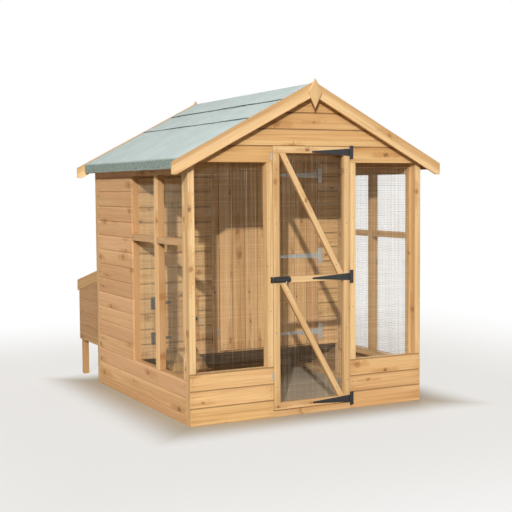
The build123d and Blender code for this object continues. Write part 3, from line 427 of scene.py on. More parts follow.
def solidsOf(node):
    # boards are closed shells stored one after another: the triangles are cut wherever no open edge is left
    mesh = nodes[node].data
    mesh.calc_loop_triangles()
    flat = np.empty(len(mesh.vertices) * 3, np.float32)
    mesh.vertices.foreach_get("co", flat)
    corners = np.empty(len(mesh.loop_triangles) * 3, np.int32)
    mesh.loop_triangles.foreach_get("vertices", corners)
    steps = np.round(flat.reshape(-1, 3) / weld).astype(np.int64)
    spots, same = np.unique(steps, axis=0, return_inverse=True)
    triangles = same.reshape(-1)[corners].reshape(-1, 3)
    triangles = triangles[(triangles != np.roll(triangles, 1, axis=1)).all(axis=1)]
    found, openEdges, start = [], set(), 0
    for k, (a, b, c) in enumerate(triangles.tolist()):
        for p, q in ((a, b), (b, c), (c, a)):
            if (q, p) in openEdges:
                openEdges.remove((q, p))
            else:
                openEdges.add((p, q))
        if not openEdges:
            used, local = np.unique(triangles[start:k + 1], return_inverse=True)
            found.append((spots[used] * weld, local.reshape(-1, 3)))
            start = k + 1
    return found


def longestArris(points, triangles):
    # the longest edge whose two faces differ in direction, so no diagonal of a flat face counts
    p = points[triangles]
    normal = np.cross(p[:, 1] - p[:, 0], p[:, 2] - p[:, 0])
    normal /= np.linalg.norm(normal, axis=1, keepdims=True) + 1e-15
    edges = np.sort(np.concatenate([triangles[:, [k, (k + 1) % 3]] for k in range(3)]), axis=1)
    owner = np.tile(np.arange(len(triangles)), 3)
    order = np.lexsort((edges[:, 1], edges[:, 0]))
    first, second = order[0::2], order[1::2]
    sharp = (normal[owner[first]] * normal[owner[second]]).sum(axis=1) < flatEnough
    line = points[edges[first][sharp][:, 1]] - points[edges[first][sharp][:, 0]]
    length = np.linalg.norm(line, axis=1)
    return line[length.argmax()] / length.max()


def grainAxis(points, triangles, prefer):
    # along the longest arris, or along the axis asked for unless the board is much longer another way
    if prefer == "long":
        return longestArris(points, triangles)
    extent = np.ptp(points, axis=0)
    axis = "xyz".index(prefer)
    if extent.max() > muchLonger * extent[axis]:
        axis = extent.argmax()
    return np.eye(3)[axis]


dice = np.random.default_rng(41)
boards = {}
# boards with a hollow or a vee along an edge: which way their faces look, 0 for the nest box all round
faceSide = {"front_skirt_boards": -1, "front_gable_boards": -1, "partition_boards": -1,
            "house_door_boards": -1, "left_boards": -1, "right_boards": 1, "rear_boards": 1, "nest_walls": 0}
# the depth of a hollow, and the most painted shade that the hollows of some boards get
grooveShading = {"deep": 0.005, "most": {"left_boards": 0.2}}
nestMiddle = sum(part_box("nest_walls"), Vector()) / 2


def grooveShadeDepth(node, points):
    # how far a point lies behind the board's face, over the depth of the hollow: the mask for the painted
    # shade in hollows and vee joints
    if node not in faceSide:
        return np.zeros(len(points))
    axis = np.ptp(points, axis=0).argmin()
    out = faceSide[node] or np.sign(points[:, axis].mean() - nestMiddle[axis])
    behind = np.max(out * points[:, axis]) - out * points[:, axis]
    return np.clip(behind / grooveShading["deep"], 0, grooveShading["most"].get(node, 1))


# the pith lies aside of the board and behind or before it; lean is how the tone changes across a board
boardLuck = {"start": (0, 60), "pithAside": (-0.09, 0.09), "pithDeep": (0.012, 0.10), "lean": (-0.4, 0.4),
             "blush": (-0.14, 0.22)}
arris = {"segments": 2, "sharper": 32, "flatter": 0.6}


def boardColumns(points, triangles, home, grain, blush, sapEdge, shades, stain):
    # grain coordinates from the pith, tone, blush and the mask for the painted shade in a hollow; plank is
    # the place on the board from its middle (across, along) and reach its half width, half length and how
    # deep its edges are stained
    g = grainAxis(points, triangles, grain)
    rest = points - points.mean(axis=0)
    flat = rest - np.outer(rest @ g, g)
    a = np.linalg.svd(flat, full_matrices=False)[2][0]
    a = -a if a[2] < -0.1 else a
    width = rest @ a
    pith = (dice.uniform(*boardLuck["start"]), dice.uniform(*boardLuck["pithAside"]),
            dice.choice((-1, 1)) * dice.uniform(*boardLuck["pithDeep"]))
    lean = sapEdge or dice.uniform(*boardLuck["lean"])
    tone = dice.uniform(*shades) + lean * width / np.ptp(width)
    red = np.clip(blush + dice.uniform(*boardLuck["blush"]), 0, 1)
    spread = np.column_stack((width, rest @ g, 0 * width))
    low, high = spread.min(axis=0), spread.max(axis=0)
    return {"grain": np.column_stack((rest @ g, width, rest @ np.cross(g, a))) + pith,
            "plank": spread - (low + high) / 2,
            "reach": np.tile((high - low) / 2 + (0, 0, stain), (len(points), 1)),
            "tone": tone, "blush": np.full(len(points), red), "paintedGrooveShade": grooveShadeDepth(home, points)}


def timberPiece(name, solids, home, hides, grain, blush=0.0, sapEdge=0.0, shades=(0.15, 0.75), stain=0.35,
                edge=0.0016):
    # boards as one piece, each with its own grain and tone, with eased arrises
    columns = [boardColumns(*solid, home, grain, blush, sapEdge, shades, stain) for solid in solids]
    slot = slotOf[home]
    piece = makePiece(name, *joinShells(solids), timber[slot], bodyOf[home], slot, hides)
    for word in columns[0]:
        addColumn(piece.data, word, np.concatenate([c[word] for c in columns]))
    flatter = radians(arris["flatter"])
    workMesh(piece.data, lambda shell: bmesh.ops.dissolve_limit(shell, angle_limit=flatter, verts=shell.verts,
                                                                edges=shell.edges))
    bevel = piece.modifiers.new("arris", "BEVEL")
    bevel.width = edge
    bevel.segments = arris["segments"]
    bevel.limit_method = "ANGLE"
    bevel.angle_limit = radians(arris["sharper"])


# which way the grain runs, how red the boards are, how much paler the lower edge is, how dark the boards are,
# how stained at the edges, and how wide their eased arrises are
timberNodes = {
    "front_frame": {"grain": "long", "shades": (-0.3, 0.35)},
    "right_frame": {"grain": "long", "blush": 0.1},
    "rear_frame": {"grain": "long", "blush": 0.1},
    "partition_frame": {"grain": "long", "blush": 0.1},
    "front_cover_strips": {"grain": "z", "shades": (-0.2, 0.3)},
    "front_skirt_boards": {"grain": "x", "blush": 0.05, "shades": (0.1, 0.6)},
    "front_gable_boards": {"grain": "x", "blush": 0.12, "shades": (0.5, 0.9)},
    "left_boards": {"grain": "y", "blush": 0.5, "shades": (0.1, 0.9), "stain": 0.15},
    "right_boards": {"grain": "y", "blush": 0.35},
    "rear_boards": {"grain": "x", "blush": 0.35},
    "partition_boards": {"grain": "x", "blush": 0.12, "shades": (-0.3, 0.4)},
    "door_threshold": {"grain": "x", "blush": 0.1, "shades": (0.0, 0.4)},
    "run_door_stiles": {"grain": "z", "blush": 0.05, "shades": (0.5, 1.1)},
    "run_door_rails": {"grain": "x", "blush": 0.1, "shades": (0.0, 0.5)},
    "run_door_braces": {"grain": "long", "blush": 0.15, "shades": (0.0, 0.5)},
    # the house door boards' seams are darkened beyond the usual stain: partly stain, partly a painted shade
    # of their vee joints
    "house_door_boards": {"grain": "z", "blush": 0.2, "shades": (-0.15, 0.85), "stain": 0.75},
    "house_door_ledges": {"grain": "long", "blush": 0.1},
    "pop_door_boards": {"grain": "x", "blush": 0.15},
    "floor_boards": {"grain": "x", "blush": 0.1},
    "floor_joists": {"grain": "y", "blush": 0.1},
    "perches": {"grain": "x"},
    "perch_cleats": {"grain": "y", "blush": 0.1},
    # purlins, ridge beam, roof boards and eave battens get a dark tone, a painted shade of the roof's
    # underside and eaves
    "purlins": {"grain": "y", "blush": 0.1, "shades": (2.4, 3.0)},
    "ridge_beam": {"grain": "y", "blush": 0.1, "shades": (2.4, 3.0)},
    "roof_boards": {"grain": "y", "blush": 0.15, "shades": (3.4, 4.0)},
    "eave_battens": {"grain": "y", "blush": 0.3, "shades": (1.6, 2.2)},
    "bargeboards": {"grain": "long", "blush": 0.05, "sapEdge": 1.6, "shades": (-0.15, 0.05)},
    "finials": {"grain": "z", "shades": (0.3, 0.6), "edge": 0.006},
    "nest_walls": {"grain": "y", "blush": 0.45, "shades": (2.5, 3.0)},
    "nest_floor": {"grain": "x", "blush": 0.2},
    "nest_dividers": {"grain": "y", "blush": 0.1},
    "nest_legs": {"grain": "z", "blush": 0.25, "shades": (1.3, 1.8)},
    "lid_frame": {"grain": "long", "blush": 0.15, "shades": (1.2, 1.7)},
    "lid_boards": {"grain": "x", "blush": 0.2},
}
for node, look in timberNodes.items():
    boards[node] = solidsOf(node)
    timberPiece(node + "_timber", boards[node], node, (node,), **look)


def liesFlat(points):
    return np.ptp(points, axis=0).argmax() != 2


def atEave(points):
    return points[:, 2].mean() > house["eave"] - 0.1


# nodes with boards of two looks: pale upright strips and redder ones along the middle rail; the left framing
# darker, partly its tone and partly painted shade, its eave plate darker still as a painted shade of the
# eave; how the odd boards are told, then the look of the others and of the odd ones
mixedNodes = {
    "side_cover_strips": (liesFlat, {"blush": 0.15, "shades": (-0.5, 0.1)},
                          {"blush": 0.75, "shades": (0.7, 1.1)}),
    "left_frame": (atEave, {"blush": 0.5, "shades": (1.0, 1.6)}, {"blush": 0.6, "shades": (3.2, 3.6)}),
}
for node, (isOdd, plainLook, oddLook) in mixedNodes.items():
    boards[node] = solidsOf(node)
    for word, look, wanted in (("_timber", plainLook, False), ("_odd_timber", oddLook, True)):
        chosen = [b for b in boards[node] if isOdd(b[0]) == wanted]
        timberPiece(node + word, chosen, node, (node,), "long", **look)

# the hens' ramp from the pop door to the ground, as read off the photo: boards with cleats across, on a ledge
ramp = {"left": -0.732, "right": -0.430, "head": 0.364, "lean": 25.2, "thick": 0.016, "boards": 2,
        "gap": 0.002, "cleatWide": 0.024, "cleatHigh": 0.018, "firstCleat": 0.041, "pitch": 0.145,
        "cleats": 6, "ledgeDeep": 0.020, "ledgeHigh": 0.030, "clear": 0.0005}
rampLook = {"blush": 0.15, "shades": (0.1, 0.6)}


def beam(corner, axes, limits):
    # a box between limits on three right-handed axes
    spots = np.array([(a, b, c) for a in limits[0] for b in limits[1] for c in limits[2]])
    quads = np.array([(0, 1, 3, 2), (4, 6, 7, 5), (0, 4, 5, 1), (2, 3, 7, 6), (0, 2, 6, 4), (1, 5, 7, 3)])
    return np.array(corner) + spots @ np.array(axes), quads[:, [0, 1, 2, 0, 2, 3]].reshape(-1, 3)


def rampSolids():
    lean, left, right = radians(ramp["lean"]), ramp["left"], ramp["right"]
    thick, clear, deep = ramp["thick"], ramp["clear"], ramp["ledgeDeep"]
    head = (0, wallY - clear, ramp["head"])
    axes = ((0, -cos(lean), -sin(lean)), (1, 0, 0), (0, -sin(lean), cos(lean)))
    length = (ramp["head"] - thick * cos(lean)) / sin(lean)
    wide = (right - left + ramp["gap"]) / ramp["boards"]
    solids = []
    for k in range(ramp["boards"]):
        sides = (left + k * wide, left + (k + 1) * wide - ramp["gap"])
        solids.append(beam(head, axes, ((0, length), sides, (-thick, 0))))
    for k in range(ramp["cleats"]):
        u = ramp["firstCleat"] + k * ramp["pitch"]
        limits = ((u, u + ramp["cleatWide"]), (left, right), (clear / 2, ramp["cleatHigh"]))
        solids.append(beam(head, axes, limits))
    under = ramp["head"] - thick / cos(lean) - deep * tan(lean) - clear
    ledge = (under - ramp["head"] - ramp["ledgeHigh"], under - ramp["head"])
    solids.append(beam(head, np.eye(3), ((left, right), (-deep, 0), ledge)))
    return solids


boards["ramp"] = rampSolids()
timberPiece("ramp_timber", boards["ramp"], "partition_boards", (), "long", **rampLook)
print("timber dressed:", sum(len(b) for b in boards.values()), "boards")

metalNodes = ["run_hinge_plates", "run_hinge_straps", "bolt_case", "bolt_keep", "pop_hinge_plates",
              "pop_hinge_straps", "pop_door_knob", "house_hinge_plates", "house_hinge_straps",
              "lid_hinge_leaves", "lid_hinge_flaps", "hinge_pins", "run_bolt", "run_button_top",
              "run_button_low", "house_button", "pop_button", "button_screws"]
for node in metalNodes:
    nodes[node].data.materials.clear()
    nodes[node].data.materials.append(metals[slotOf[node]])
print("metal dressed:", len(metalNodes), "nodes")

# a pane is where it starts along the wall, its lower edge, width and height; back and inner are the planes
# that the wire lies in; the two beta spreads deal out each wire's painted glint, and the glint pair is its
# least share and its swing along the wire; a bulge is height, pitch and phase
netting = {"gap": 0.0127, "wire": 0.0005, "steps": 12, "sag": 0.0022, "bulges": ((0.6, 5, 1), (0.7, 7, 2)),
           "weave": 1.7, "glintContrast": (0.45, 0.75), "glintEven": (3.0, 2.4), "paintedGlint": (0.72, 0.28),
           "flickerPitch": (3, 9), "flickerPhase": (0, 6), "frontBack": frontY + 0.0597,
           "frontPanes": ((-0.856, 0.325, 0.534, 1.422), (0.341, 0.325, 0.515, 1.422)),
           "sideInner": 0.8553, "sidePane": (frontY + 0.084, 0.274, 0.956, 1.396),
           "doorBack": frontY + 0.0327, "doorPane": (-0.274, 0.066, 0.567, 1.751)}


def wirePanel(corner, across, up, outward, width, height, luck):
    # straight wires both ways, each a square rod carried along its line; all share one shallow sag; each wire
    # gets a random painted glint that flickers along it
    across, up, outward = (np.array(v, float) for v in (across, up, outward))
    columns, rows = int(round(width / netting["gap"])), int(round(height / netting["gap"]))
    t = np.linspace(0, 1, netting["steps"] + 1)
    s = np.linspace(0, 1, columns + 1)[1:-1]
    q = np.linspace(0, 1, rows + 1)[1:-1]
    r = netting["wire"]
    ring = np.array([(1, 0), (0, 1), (-1, 0), (0, -1)]) * r
    dullest, swing = netting["paintedGlint"]
    (h1, f1, p1), (h2, f2, p2) = netting["bulges"]
    rods, paintedShine = [], []
    for a, b, side, lift in ((s[:, None] + 0 * t, t + 0 * s[:, None], across, 0.0),
                             (t + 0 * q[:, None], q[:, None] + 0 * t, up, netting["weave"] * r)):
        bulge = np.sin(pi * a) * np.sin(pi * b) * np.abs(h1 * np.sin(f1 * a + p1) + h2 * np.sin(f2 * b + p2))
        centre = (np.array(corner) + a[..., None] * width * across + b[..., None] * height * up
                  + (netting["sag"] * bulge + lift)[..., None] * outward)
        tube = centre[:, :, None, :] + ring[:, :1] * side + ring[:, 1:] * outward
        wires, steps = a.shape
        rate = dice.uniform(*netting["flickerPitch"], (wires, 1))
        glintFlicker = np.sin(rate * t + dice.uniform(*netting["flickerPhase"], (wires, 1)))
        paintedGlint = dice.beta(*luck, (wires, 1)) * (dullest + swing * glintFlicker)
        paintedShine.append(np.repeat(np.clip(paintedGlint, 0, 1).ravel(), 4))
        w, k, j = np.meshgrid(np.arange(wires), np.arange(steps - 1), np.arange(4), indexing="ij")
        here = (w * steps + k) * 4
        quad = np.stack((here + j, here + (j + 1) % 4, here + 4 + (j + 1) % 4, here + 4 + j), axis=-1)
        starts = np.arange(wires)[:, None] * steps * 4
        caps = (starts + (3, 2, 1, 0), starts + (steps - 1) * 4 + (0, 1, 2, 3))
        rods.append((tube.reshape(-1, 3), np.concatenate((quad.reshape(-1, 4), *caps))))
    points, faceSets = joinShells(rods)
    return points, np.concatenate(faceSets), np.concatenate(paintedShine)


def nettingPiece(name, node, luck, panels):
    woven = [wirePanel(*panel, luck) for panel in panels]
    points, faceSets = joinShells([rods[:2] for rods in woven])
    piece = makePiece(name, points, faceSets, wireZinc, bodyOf[node], slotOf[node], (node,))
    addColumn(piece.data, "paintedShine", np.concatenate([rods[2] for rods in woven]))
    workMesh(piece.data, lambda shell: bmesh.ops.recalc_face_normals(shell, faces=shell.faces))
    shadeSmooth(piece.data)


def facingPanel(pane, back):
    start, base, width, height = pane
    return (start, back, base), (1, 0, 0), (0, 0, 1), (0, 1, 0), width, height


def sidePanel(pane, side):
    start, base, width, height = pane
    return (side * netting["sideInner"], start, base), (0, 1, 0), (0, 0, 1), (-side, 0, 0), width, height


nettingPiece("front_wire_netting", "front_nets", netting["glintContrast"],
             [facingPanel(pane, netting["frontBack"]) for pane in netting["frontPanes"]])
nettingPiece("side_wire_netting", "side_nets", netting["glintEven"],
             [sidePanel(netting["sidePane"], side) for side in (-1, 1)])
nettingPiece("door_wire_netting", "run_door_net", netting["glintContrast"],
             [facingPanel(netting["doorPane"], netting["doorBack"])])
print("netting woven")

# tops are the sheets' upper edges, hidden under the sheet above; a step is where a sheet that rides on the
# one below comes down to the deck; rates are pitches of waves along the edge or across the sheet
felt = {"grid": 240, "ripple": 0.0012, "rippleFrom": 0.05, "rippleRate": 5, "rippleHigh": 12, "drift": 0.7,
        "driftRate": 2, "lift": 0.004, "lowerLift": 0.0012, "liftWide": 0.055, "liftLeast": 0.35,
        "liftRate": 3, "ragged": 0.004, "raggedWide": 0.03, "raggedRate": 9, "raggedHigh": 90,
        "foldRound": 0.012, "foldDrop": 0.066, "foldBlend": 0.016, "foldShort": 0.004, "foldRows": 9,
        "rimWide": 0.010, "slack": 0.001, "thinner": 0.0005, "lowerTop": 0.405, "upperTop": 0.157,
        "upperStep": 0.385, "capStep": 0.137, "climb": 0.02, "lowerRows": 26, "upperRows": 30, "capRows": 24}
seeds = {"lower": 11, "upper": 31, "cap": 51}


def deckTop(x):
    return ridgeZ - slope * abs(x) + house["deck"] / cos(roofPitch)


def waves(t, seed, terms=9, low=2.0, high=26.0):
    # a smooth wandering line: sines of random pitch and phase, the quick ones smaller
    pick = np.random.default_rng(seed)
    rate = np.geomspace(low, high, terms)
    return sum(np.sin(t * f + pick.uniform(0, 2 * pi)) * (low / f) ** 0.5 for f in rate) / terms ** 0.5


def nearEdge(fromEdge, wide):
    # one on the sheet's lower edge, falling to nothing at this distance from it
    return np.clip(1 - fromEdge / wide, 0, 1)


def feltSheet(name, node, side, profile, loose, seed, turned=0.0):
    # a profile across the roof carried along y; it ripples a little and its loose lower edge lifts in places
    line = np.array(profile)
    arc = np.concatenate(([0], np.cumsum(np.linalg.norm(np.diff(line, axis=0), axis=1))))
    tangent = np.gradient(line, axis=0)
    tangent /= np.linalg.norm(tangent, axis=1, keepdims=True)
    normal = np.column_stack((-tangent[:, 1], tangent[:, 0]))
    # ripples lift the sheet off the slope and press the fold to the eave
    normal *= np.where((normal[:, 1] + 0.35 * np.abs(normal[:, 0])) < 0, -1, 1)[:, None]
    y = np.linspace(frontY - house["verge"], rearY + house["verge"], felt["grid"])
    fromEdge = arc[:, None] + 0 * y
    wander = waves(y * felt["liftRate"], seed)[None, :]
    drift = felt["drift"] * waves(y * felt["driftRate"], seed + 1)[None, :]
    ripple = felt["ripple"] * waves(fromEdge * felt["rippleRate"] + drift, seed + 2, high=felt["rippleHigh"])
    ripple = np.abs(ripple) * np.clip(fromEdge / felt["rippleFrom"], 0, 1)
    raised = felt["liftLeast"] + (1 - felt["liftLeast"]) * np.clip(0.5 + wander, 0, 1)
    off = ripple + loose * raised * nearEdge(fromEdge, felt["liftWide"]) ** 2
    ragged = felt["ragged"] * waves(y * felt["raggedRate"], seed + 3, high=felt["raggedHigh"])[None, :]
    slip = ragged * nearEdge(fromEdge, felt["raggedWide"])
    px, pz = (line[:, k, None] + normal[:, k, None] * off + tangent[:, k, None] * slip for k in (0, 1))
    points = np.stack((side * px, y[None, :] + 0 * px, pz), axis=-1)
    rows, columns = px.shape
    i, j = np.meshgrid(np.arange(rows - 1), np.arange(columns - 1), indexing="ij")
    here = i * columns + j
    faces = np.stack((here, here + columns, here + columns + 1, here + 1), axis=-1).reshape(-1, 4)
    faces = faces if side > 0 else faces[:, ::-1]
    piece = makePiece(name, points, [faces], roofFelt, bodyOf[node], slotOf[node], (node,))
    foldOver = np.clip((turned - fromEdge) / felt["foldBlend"] + 0.5, 0, 1) if turned else 0 * fromEdge
    addColumn(piece.data, "fold", foldOver.ravel())
    addColumn(piece.data, "rim", (nearEdge(fromEdge, felt["rimWide"]) if turned else 0 * fromEdge).ravel())
    shadeSmooth(piece.data)
    thick = piece.modifiers.new("sheet", "SOLIDIFY")
    thick.thickness = house["sheet"] - felt["thinner"]
    thick.offset = -1
    if not turned:
        piece.data.materials.append(bitumen)
        thick.material_offset_rim = 1


def slopeLine(outer, inner, count, step=None):
    # from the lower edge up the slope, riding over the sheet below for the width of the lap
    x = np.linspace(outer, inner, count)
    layers = 1 + np.clip((x - step) / felt["climb"], 0, 1) if step else np.ones_like(x)
    return [(v, deckTop(v) + sheetRise * n) for v, n in zip(x, layers)]


# the fold: down the eave board, round the arris and on to the slope
eaveX = house["half"] + house["overhang"]
roundR, bendX = felt["foldRound"], eaveX + house["sheet"] + felt["slack"]
edgeZ = deckTop(bendX) + sheetRise + felt["slack"]
turn = pi / 2 - roofPitch
roundZ = edgeZ - roundR * tan(turn / 2)
foldLow, foldTop = deckTop(eaveX) + sheetRise - felt["foldDrop"], roundZ - felt["foldShort"]
fold = [(bendX, z) for z in np.linspace(foldLow, foldTop, felt["foldRows"])]
bend = [(bendX - roundR * (1 - cos(a)), roundZ + roundR * sin(a))
        for a in np.linspace(0, turn, felt["foldRows"])]
lower = fold + bend + slopeLine(bend[-1][0] - roundR, felt["lowerTop"], felt["lowerRows"])
upper = slopeLine(house["upperLap"], felt["upperTop"], felt["upperRows"], felt["upperStep"])
cap = slopeLine(house["capLap"], 0.0, felt["capRows"], felt["capStep"])
for side, word in ((-1, "left"), (1, "right")):
    node = "felt_" + word
    feltSheet(node + "_lower", node, side, lower, felt["lowerLift"], seeds["lower"] + side, felt["foldDrop"])
    feltSheet(node + "_upper", node, side, upper, felt["lift"], seeds["upper"] + side)
    feltSheet("felt_cap_" + word, "felt_ridge_cap", side, cap, felt["lift"], seeds["cap"] + side)
print("felt laid")

# radius and height of a head
heads = {"nail": (0.0030, 0.0008), "doorNail": (0.0042, 0.0009), "screw": (0.0042, 0.0016)}
headShape = {"sides": 8, "shoulder": 0.62, "shoulderRise": 0.85, "sunk": 0.0003}


def headPiece(name, places, normals, kind, finish, body, slot):
    # one low dome (two rings and a crown) set at every place, turned to the face it sits on
    radius, rise = heads[kind]
    sides, inner = headShape["sides"], radius * headShape["shoulder"]
    places, normals = np.asarray(places, float), np.asarray(normals, float)
    turn = np.arange(sides) * 2 * pi / sides
    rim = np.stack((np.cos(turn), np.sin(turn), 0 * turn), axis=-1)
    shoulder = rim * (inner, inner, 0) + (0, 0, rise * headShape["shoulderRise"])
    dome = np.concatenate((rim * (radius, radius, 0), shoulder, [(0, 0, rise)]))
    helper = np.where(np.abs(normals[:, 2:3]) > 0.9, (1.0, 0, 0), (0, 0, 1.0))
    sideways = np.cross(helper, normals)
    sideways /= np.linalg.norm(sideways, axis=1, keepdims=True)
    upward = np.cross(normals, sideways)
    points = (places[:, None] - normals[:, None] * headShape["sunk"] + dome[:, :1] * sideways[:, None]
              + dome[:, 1:2] * upward[:, None] + dome[:, 2:] * normals[:, None])
    k = np.arange(sides)
    after = (k + 1) % sides
    walls = np.stack((k, after, sides + after, sides + k), axis=-1)
    crown = np.stack((sides + k, sides + after, 0 * k + 2 * sides), axis=-1)
    start = np.arange(len(places))[:, None, None] * len(dome)
    faceSets = [(ring + start).reshape(-1, ring.shape[-1]) for ring in (walls, crown, k[None, ::-1])]
    makePiece(name, points, faceSets, finish, body, slot)


def spanAt(outline, level):
    # where a line at this level enters and leaves a face given by its triangles, so a slanted end counts
    a, b = outline, np.roll(outline, -1, axis=1)
    crossing = (a[..., 1] - level) * (b[..., 1] - level) < 0
    a, b = a[crossing], b[crossing]
    s = a[:, 0] + (b[:, 0] - a[:, 0]) * (level - a[:, 1]) / (b[:, 1] - a[:, 1])
    return s.min(), s.max()


# two nails stand across a wide board, one across a narrow one; a row's nails start further from the ends
nailing = {"wide": 0.06, "pair": (0.26, 0.70), "single": (0.5,), "rowInset": 2.2, "shortBoard": 3,
           "lineClear": 0.06, "strayAlong": (-0.003, 0.003), "strayAcross": (-0.004, 0.004),
           "buttonReach": 0.045}


def nailSpots(node, outward, lines, ends, pitch):
    # nails near the ends of each board and on the framing lines behind it, or a row along a strip; each sits
    # on the board's own face, which may slope
    spots, normals = [], []
    for points, triangles in boards[node]:
        out = np.array(outward or (np.sign(points[:, 0].mean()), 0, 0), float)
        p = points[triangles]
        n = np.cross(p[:, 1] - p[:, 0], p[:, 2] - p[:, 0])
        area = np.linalg.norm(n, axis=1)
        best = np.argmax(((n @ out) > 0.9 * area) * area)
        normal = n[best] / area[best]
        level = p[best, 0] @ normal
        run = longestArris(points, triangles)
        run = run * np.sign(run.sum())
        cross = np.cross(normal, run)
        flat = p[np.abs(p @ normal - level).max(axis=1) < 10 * weld]
        outline = np.stack((flat @ run, flat @ cross), axis=-1)
        left, right = outline[..., 1].min(), outline[..., 1].max()
        narrow = right - left < nailing["wide"]
        for v in nailing["single" if pitch or narrow else "pair"]:
            height = left + v * (right - left)
            low, high = spanAt(outline, height)
            if pitch:
                inset = nailing["rowInset"] * ends
                stops = np.linspace(low + inset, high - inset, max(2, int(round((high - low) / pitch)) + 1))
            elif high - low < nailing["shortBoard"] * ends:
                stops = [(low + high) / 2]
            else:
                clear = nailing["lineClear"]
                stops = [low + ends, high - ends] + [s for s in lines if low + clear < s < high - clear]
            for s in stops:
                along = s + dice.uniform(*nailing["strayAlong"])
                up = height + dice.uniform(*nailing["strayAcross"])
                spots.append(along * run + up * cross + level * normal)
                normals.append(normal)
    return spots, normals


# node, the way its face looks (none for both sides), framing lines, distance from the ends, pitch of a row
toFront, sideLines = (0, -1, 0), (frontY + 0.572, frontY + 1.062)
nailRows = [
    ("front_skirt_boards", toFront, (), 0.022, 0),
    ("front_cover_strips", toFront, (), 0.03, 0.34),
    ("left_boards", (-1, 0, 0), sideLines, 0.022, 0),
    ("right_boards", (1, 0, 0), sideLines, 0.022, 0),
    ("rear_boards", (0, 1, 0), (0.0,), 0.10, 0),
    ("side_cover_strips", None, (), 0.03, 0.34),
    ("partition_boards", toFront, (), 0.022, 0),
    ("run_door_stiles", toFront, (), 0.05, 0.42),
    ("run_door_rails", toFront, (), 0.03, 0),
    ("run_door_braces", toFront, (), 0.075, 0),
    ("house_door_boards", toFront, (0.467, 1.062, 1.687), 0.05, 0),
    ("pop_door_boards", toFront, (), 0.05, 0),
    ("lid_boards", (0, 0, 1), (0.0,), 0.03, 0),
]
buttons = ("run_button_top", "run_button_low", "house_button", "pop_button")
buttonSpots = [np.array(sum(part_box(b), Vector()) / 2) for b in buttons]
gathered = {}
for node, *row in nailRows:
    spots, normals = gathered.setdefault(bodyOf[node], ([], []))
    for spot, normal in zip(*nailSpots(node, *row)):
        # no nail stands where a turn button sweeps
        if min(np.linalg.norm(spot - b) for b in buttonSpots) > nailing["buttonReach"]:
            spots.append(spot)
            normals.append(normal)
for body, (spots, normals) in gathered.items():
    kind = "doorNail" if body == "run_door" else "nail"
    headPiece(body + "_nails", spots, normals, kind, nailSteel, body, "galvanised_steel")
print("nails driven:", sum(len(s) for s, _ in gathered.values()))

# pin: x of the hinge pin; along: distances from it on the strap, the first with two screws; plate: distance
# on the other side and spread of its three screws
strapScrews = {
    "run": {"body": "run_door", "pin": 0.3145, "face": frontY, "side": -1, "levels": (1.800, 0.934, 0.071),
            "along": (0.030, 0.105, 0.195, 0.282), "spread": 0.013, "plate": (0.018, 0.031),
            "finish": "black_iron"},
    "houseDoor": {"body": "house_door", "pin": 0.671, "face": wallY, "side": -1,
                  "levels": (1.656, 1.014, 0.400), "along": (0.034, 0.125, 0.225, 0.325), "spread": 0.012,
                  "plate": (0.024, 0.044), "finish": "galvanised_steel"},
    "popDoor": {"body": "pop_door", "pin": -0.7435, "face": wallY, "side": 1, "levels": (0.705, 0.442),
                "along": (0.030, 0.080, 0.124), "spread": 0.008, "plate": (0.019, 0.032),
                "finish": "dark_iron"},
}
strapThick = 0.003
boltScrews = {"case": (-0.283, -0.175), "keep": (-0.3065,), "level": 0.936, "spread": 0.017, "thick": 0.002}


def screwPiece(name, spots, finish, body):
    headPiece(name, spots, [toFront] * len(spots), "screw", metals[finish], body, finish)


for word, job in strapScrews.items():
    front, (plateAway, plateSpread) = job["face"] - strapThick, job["plate"]
    strap = []
    for z in job["levels"]:
        for k, d in enumerate(job["along"]):
            rows = (-job["spread"], job["spread"]) if k == 0 else (0.0,)
            strap += [(job["pin"] + job["side"] * d, front, z + v) for v in rows]
    plateX = job["pin"] - job["side"] * plateAway
    plate = [(plateX, front, z + v * plateSpread) for z in job["levels"] for v in (-1, 0, 1)]
    screwPiece(word + "_strap_screws", strap, job["finish"], job["body"])
    screwPiece(word + "_plate_screws", plate, job["finish"], "house")
for word, name, body in (("case", "bolt_screws", "run_door"), ("keep", "keep_screws", "house")):
    spots = [(x, frontY - boltScrews["thick"], boltScrews["level"] + v * boltScrews["spread"])
             for x in boltScrews[word] for v in (-1, 1)]
    screwPiece(name, spots, "black_iron", body)
print("screws set")

stageLook = {"floor": rgb(0.50, 0.44, 0.345), "floorRough": 0.9, "floorSheen": 0.1, "reach": 40.0,
             "near": 0.68, "baseShadeFade": (0.0, 0.45), "farFade": (0.8, 4.0), "fill": rgb(0.022, 0.018, 0.013),
             "key": 2.5, "keySpread": 1.2, "keyTint": (1.0, 0.97, 0.92), "toKey": (-0.493, -0.794, 0.369)}
softLamps = {
    "topLamp": {"place": (-2.2, -0.6, 6.5), "target": (0, 0, 1.6), "power": 30.0, "size": 4.0,
                "tint": (0.94, 0.98, 1.0)},
    "backLamp": {"place": (4.5, 5.5, 4.5), "target": (0, 0, 1.0), "power": 300.0, "size": 5.0,
                 "tint": (1, 1, 1)},
    "skyLamp": {"place": (-3.2, -5.2, 5.2), "target": (0, -0.5, 0.6), "power": 180.0, "size": 4.0,
                "tint": (1, 1, 1)},
    "leftLamp": {"place": (-6.0, -0.6, 5.5), "target": (0, -0.2, 1.0), "power": 62.0, "size": 3.5,
                 "tint": (0.80, 0.91, 1.0)},
}


def seenDirectly(tree):
    # one for rays from the eye, straight, mirrored or through a clear thing; none for light that is scattered
    rays = addNode(tree, "ShaderNodeLightPath").outputs
    mirrored = calc(tree, "MAXIMUM", rays["Is Glossy Ray"], rays["Is Transmission Ray"])
    return calc(tree, "MAXIMUM", rays["Is Camera Ray"], mirrored)


